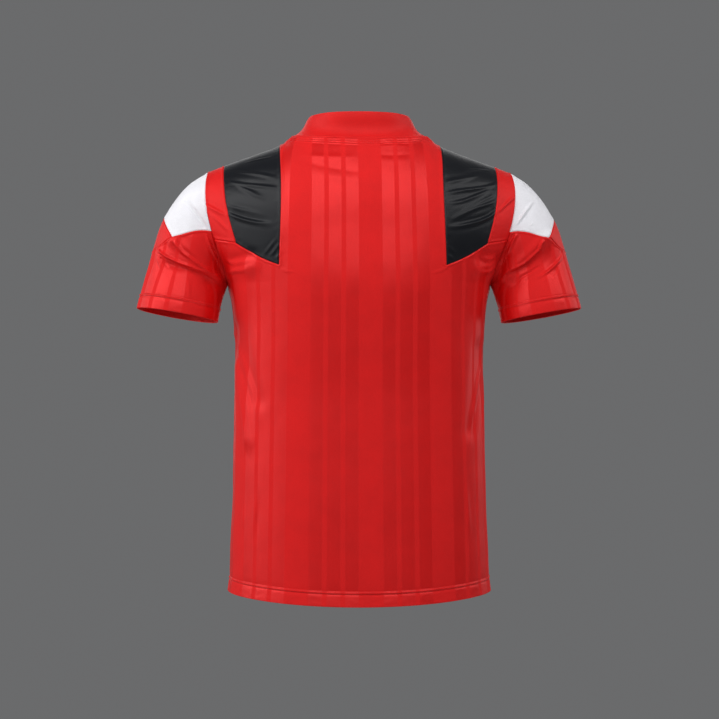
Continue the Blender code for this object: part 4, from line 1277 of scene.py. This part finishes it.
class JerseyCloth(bpy.types.PropertyGroup):
    """Sizes of the cloth."""

    thickness: FloatProperty(
        name="Cloth Thickness", description="Thickness of one layer of knit",
        default=0.0009, min=0.0003, max=0.002, **LENGTH)
    collar_thickness: FloatProperty(
        name="Collar Thickness", description="Thickness of the doubled collar band",
        default=0.0022, min=0.001, max=0.004, **LENGTH)
    fold_strength: FloatProperty(
        name="Fold Strength", description="Scales the height of every fold and crease",
        default=1.0, min=0.0, max=2.0, subtype="FACTOR")


class JerseyStripes(bpy.types.PropertyGroup):
    """Sizes of the tonal stripes."""

    satin_width: FloatProperty(
        name="Satin Stripe", description="Width of one satin stripe",
        default=0.0193, **LENGTH)
    gap_width: FloatProperty(
        name="Narrow Gap", description="Width of matt cloth between two satin stripes of a group",
        default=0.0063, **LENGTH)
    repeat: FloatProperty(
        name="Repeat", description="Width of a group of three stripes and the wide gap beside it",
        default=0.1048, **LENGTH)
    start: FloatProperty(
        name="Start", description="Where a group starts, from the middle of the back",
        default=0.0280, **LENGTH)


class JerseyStitches(bpy.types.PropertyGroup):
    """Sizes of the stitching."""

    pitch: FloatProperty(
        name="Stitch Pitch", description="From the start of one stitch to the next",
        default=0.0032, **LENGTH)
    length: FloatProperty(
        name="Stitch Length", description="Length of thread that shows",
        default=0.0025, **LENGTH)
    thread: FloatProperty(
        name="Thread", description="Thickness of the thread",
        default=0.0006, **LENGTH)


class JerseyColours(bpy.types.PropertyGroup):
    """Colours of the cloth and the studio."""

    satin_red: FloatVectorProperty(
        name="Satin Red", description="Colour of the satin stripes",
        default=linear("#c70707"), **COLOUR)
    matt_red: FloatVectorProperty(
        name="Matt Red", description="Colour of the ground between the stripes",
        default=linear("#ca0a0a"), **COLOUR)
    plain_red: FloatVectorProperty(
        name="Plain Red", description="Colour of the shoulder strips and sleeve tops",
        default=linear("#cc1111"), **COLOUR)
    collar_red: FloatVectorProperty(
        name="Collar Red", description="Colour of the collar",
        default=linear("#ce1818"), **COLOUR)
    black: FloatVectorProperty(
        name="Black", description="Colour of the shoulder panels",
        default=linear("#0d0f14"), **COLOUR)
    white: FloatVectorProperty(
        name="White", description="Colour of the sleeve blocks",
        default=linear("#e0dfe4"), **COLOUR)
    floor: FloatVectorProperty(
        name="Floor", description="Colour of the studio floor",
        default=linear("#d8d8d6"), **COLOUR)


# ------------------------------------------------------------------------------ operators
class BuildBody(bpy.types.Operator):
    """Builds the striped back and front"""

    bl_idname = "jersey.build_body"
    bl_label = "Back and Front"

    def execute(self, context):
        striped = striped_jacquard()
        for name in ("back", "front"):
            place_piece(name, striped)
        return {"FINISHED"}


class BuildShoulders(bpy.types.Operator):
    """Builds the black shoulder panels and the red strips beside them"""

    bl_idname = "jersey.build_shoulders"
    bl_label = "Shoulder Panels and Strips"

    def execute(self, context):
        colours = context.scene.jersey_colours
        # Black interlock keeps a soft grey sheen where it faces the light.
        black = plain_knit(
            "interlock_knit_black", colours.black, tint=NO_TINT, roughness=0.35, sheen=0.04,
            specular=0.24)
        # Red interlock shines softly, between the satin and the matt ground of the jacquard.
        red = plain_knit(
            "interlock_knit_red", colours.plain_red, tint=RED_TINT, roughness=0.55, sheen=0.05,
            specular=0.55, ior=RED_IOR)
        for hand in HANDS.values():
            place_piece(f"shoulder_panel_{hand}", black)
            place_piece(f"shoulder_strip_{hand}", red)
        return {"FINISHED"}


class BuildSleeves(bpy.types.Operator):
    """Builds the striped sleeves with their white blocks and plain tops"""

    bl_idname = "jersey.build_sleeves"
    bl_label = "Sleeves"

    def execute(self, context):
        colours = context.scene.jersey_colours
        striped = bpy.data.materials["jacquard_knit_tonal_stripe"]
        red = bpy.data.materials["interlock_knit_red"]
        # White interlock scatters the light, so its loops and creases hardly show.
        white = plain_knit(
            "interlock_knit_white", colours.white, tint=NO_TINT, roughness=0.60, sheen=0.05,
            specular=0.30)
        for hand in HANDS.values():
            place_piece(f"sleeve_block_{hand}", white)
            place_piece(f"sleeve_top_{hand}", red)
            place_piece(f"sleeve_{hand}", striped)
        return {"FINISHED"}


class BuildCollar(bpy.types.Operator):
    """Builds the stand collar"""

    bl_idname = "jersey.build_collar"
    bl_label = "Collar"

    def execute(self, context):
        colours = context.scene.jersey_colours
        # A fine double knit, smoother and flatter than the body's cloth.
        knit = plain_knit(
            "double_knit_red", colours.collar_red, tint=COLLAR_TINT, roughness=0.52, sheen=0.05,
            specular=0.30, wale=0.9 * MM, course=0.8 * MM, relief=0.06 * MM)
        place_piece("collar", knit)
        return {"FINISHED"}


class BuildStitching(bpy.types.Operator):
    """Lays the stitches of the hem, the cuffs and the neck seam"""

    bl_idname = "jersey.build_stitching"
    bl_label = "Stitching"

    def execute(self, context):
        skin, tree = jersey_skin(), stitch_tree()
        thread = thread_material("polyester_thread_red", context.scene.jersey_colours.plain_red)
        twin = (BAND_DEPTH - TWIN_HALF_GAP, BAND_DEPTH + TWIN_HALF_GAP)
        hem = [body_loop(skin.edge_gap, level, from_last=False) for level in twin]
        lay_stitches("hem_stitches", hem, tree, thread)
        for hand, label in HANDS.items():
            sleeve = ("sleeve", 0, hand)
            cuff = [line_at(sleeve, skin.edge_gap, level, from_last=True)[:-1] for level in twin]
            lay_stitches(f"cuff_stitches_{label}", cuff, tree, thread)
        neck = [body_loop(skin.neck_gap, level, from_last=True) for level in NECK_ROWS]
        lay_stitches("neck_stitches", neck, tree, thread)
        return {"FINISHED"}


class BuildStage(bpy.types.Operator):
    """Sets the floor, the lights, the world and the camera"""

    bl_idname = "jersey.build_stage"
    bl_label = "Studio"

    FLOOR_HEIGHT, FLOOR_RADIUS, FLOOR_SIDES, FLOOR_ROUGHNESS = -1.45, 3.0, 96, 0.8
    CAMERA_AZIMUTH, CAMERA_DISTANCE, CAMERA_HEIGHT = -2.75, 3.2, -0.3376
    LENS, SENSOR_WIDTH = 103.7, 36.0
    WORLD_COLOUR, WORLD_STRENGTH = "#f4f5f7", 0.16
    # Each light: place, what it is aimed at, width, height, watts.
    LIGHTS = {
        "key": ((-2.28, -0.40, 0.45), (0.0, 0.0, -0.30), 0.9, 2.0, 19.0),
        "left_fill": ((-1.80, -1.50, 0.10), (0.0, 0.0, -0.30), 1.0, 1.4, 8.5),
        "high_left": ((-1.50, -1.10, 1.30), (0.0, 0.0, -0.30), 0.9, 0.9, 13.0),
        "front": ((0.0, -2.20, 0.62), (0.0, 0.0, -0.25), 2.0, 1.2, 10.0),
        "overhead": ((0.0, -1.20, 0.95), (0.0, 0.0, -0.10), 1.5, 1.0, 10.5),
        "high_right": ((1.50, -1.10, 1.30), (0.0, 0.0, -0.30), 0.9, 0.9, 8.5),
        "right": ((1.95, -0.35, 0.75), (0.0, 0.0, -0.30), 0.9, 1.4, 8.5),
        "left_rim": ((-2.05, 1.00, 0.10), (0.0, 0.0, -0.30), 0.6, 1.4, 6.5),
        "right_rim": ((2.05, 1.00, 0.10), (0.0, 0.0, -0.30), 0.6, 1.4, 5.5),
        "chest": ((0.0, 2.60, 0.50), (0.0, 0.0, -0.30), 3.0, 2.4, 19.0),
    }

    def lay_floor(self, scene):
        """A wide round floor of pale matt paint."""
        sides = self.FLOOR_SIDES
        floor = bpy.data.meshes.new("floor")
        ring = [(self.FLOOR_RADIUS * cos(a), self.FLOOR_RADIUS * sin(a), self.FLOOR_HEIGHT)
                for a in (2 * pi * k / sides for k in range(sides))]
        floor.from_pydata(ring, [], [list(range(sides))])
        ground = bpy.data.objects.new("floor", floor)
        scene.collection.objects.link(ground)
        paint = bpy.data.materials.new("studio_floor_paint")
        paint.use_nodes = True
        shader = paint.node_tree.nodes["Principled BSDF"]
        shader.inputs["Base Color"].default_value = scene.jersey_colours.floor
        shader.inputs["Roughness"].default_value = self.FLOOR_ROUGHNESS
        floor.materials.append(paint)

    def hang_lights(self, scene):
        """Large soft lights, each aimed at the jersey."""
        for name, (place, aim, width, height, watts) in self.LIGHTS.items():
            data = bpy.data.lights.new(name, "AREA")
            data.shape, data.size, data.size_y, data.energy = "RECTANGLE", width, height, watts
            light = bpy.data.objects.new(name, data)
            light.location = place
            light.rotation_euler = (Vector(aim) - Vector(place)).to_track_quat("-Z", "Y").to_euler()
            scene.collection.objects.link(light)

    def light_world(self, scene):
        """Faint even light from all round."""
        world = bpy.data.worlds.new("studio")
        world.use_nodes = True
        sky = world.node_tree.nodes["Background"]
        sky.inputs["Color"].default_value = linear(self.WORLD_COLOUR)
        sky.inputs["Strength"].default_value = self.WORLD_STRENGTH
        scene.world = world
        scene.view_settings.view_transform = "Standard"

    def place_camera(self, scene):
        """A level camera behind the jersey, slightly to the wearer's left."""
        turn = radians(self.CAMERA_AZIMUTH)
        data = bpy.data.cameras.new("camera")
        data.lens, data.sensor_width = self.LENS, self.SENSOR_WIDTH
        camera = bpy.data.objects.new("camera", data)
        camera.location = (
            self.CAMERA_DISTANCE * sin(turn), -self.CAMERA_DISTANCE * cos(turn), self.CAMERA_HEIGHT)
        camera.rotation_euler = (pi / 2, 0.0, turn)
        scene.collection.objects.link(camera)
        scene.camera = camera

    def execute(self, context):
        for part in (self.lay_floor, self.hang_lights, self.light_world, self.place_camera):
            part(context.scene)
        return {"FINISHED"}


class JerseyPanel(bpy.types.Panel):
    """Lists the jersey's settings and the steps that build it"""

    bl_idname = "VIEW3D_PT_jersey"
    bl_label = "Football Jersey"
    bl_space_type = "VIEW_3D"
    bl_region_type = "UI"
    bl_category = "Jersey"

    def draw(self, context):
        for group in SETTINGS:
            box = self.layout.box()
            settings = getattr(context.scene, group)
            for setting in settings.bl_rna.properties:
                if setting.identifier not in ("rna_type", "name"):
                    box.prop(settings, setting.identifier)
        for operator in STEPS:
            self.layout.operator(operator.bl_idname)


SETTINGS = {
    "jersey_cloth": JerseyCloth, "jersey_stripes": JerseyStripes,
    "jersey_stitches": JerseyStitches, "jersey_colours": JerseyColours,
}
STEPS = (BuildBody, BuildShoulders, BuildSleeves, BuildCollar, BuildStitching, BuildStage)


def register():
    for item in (*SETTINGS.values(), *STEPS, JerseyPanel):
        bpy.utils.register_class(item)
    for name, group in SETTINGS.items():
        setattr(bpy.types.Scene, name, PointerProperty(type=group))


def unregister():
    for name in SETTINGS:
        delattr(bpy.types.Scene, name)
    for item in reversed((*SETTINGS.values(), *STEPS, JerseyPanel)):
        bpy.utils.unregister_class(item)


def main():
    register()
    for step in STEPS:
        group, name = step.bl_idname.split(".")
        if getattr(getattr(bpy.ops, group), name)() != {"FINISHED"}:
            raise RuntimeError(f"{step.bl_label} wasn't built")


if __name__ == "__main__":
    main()
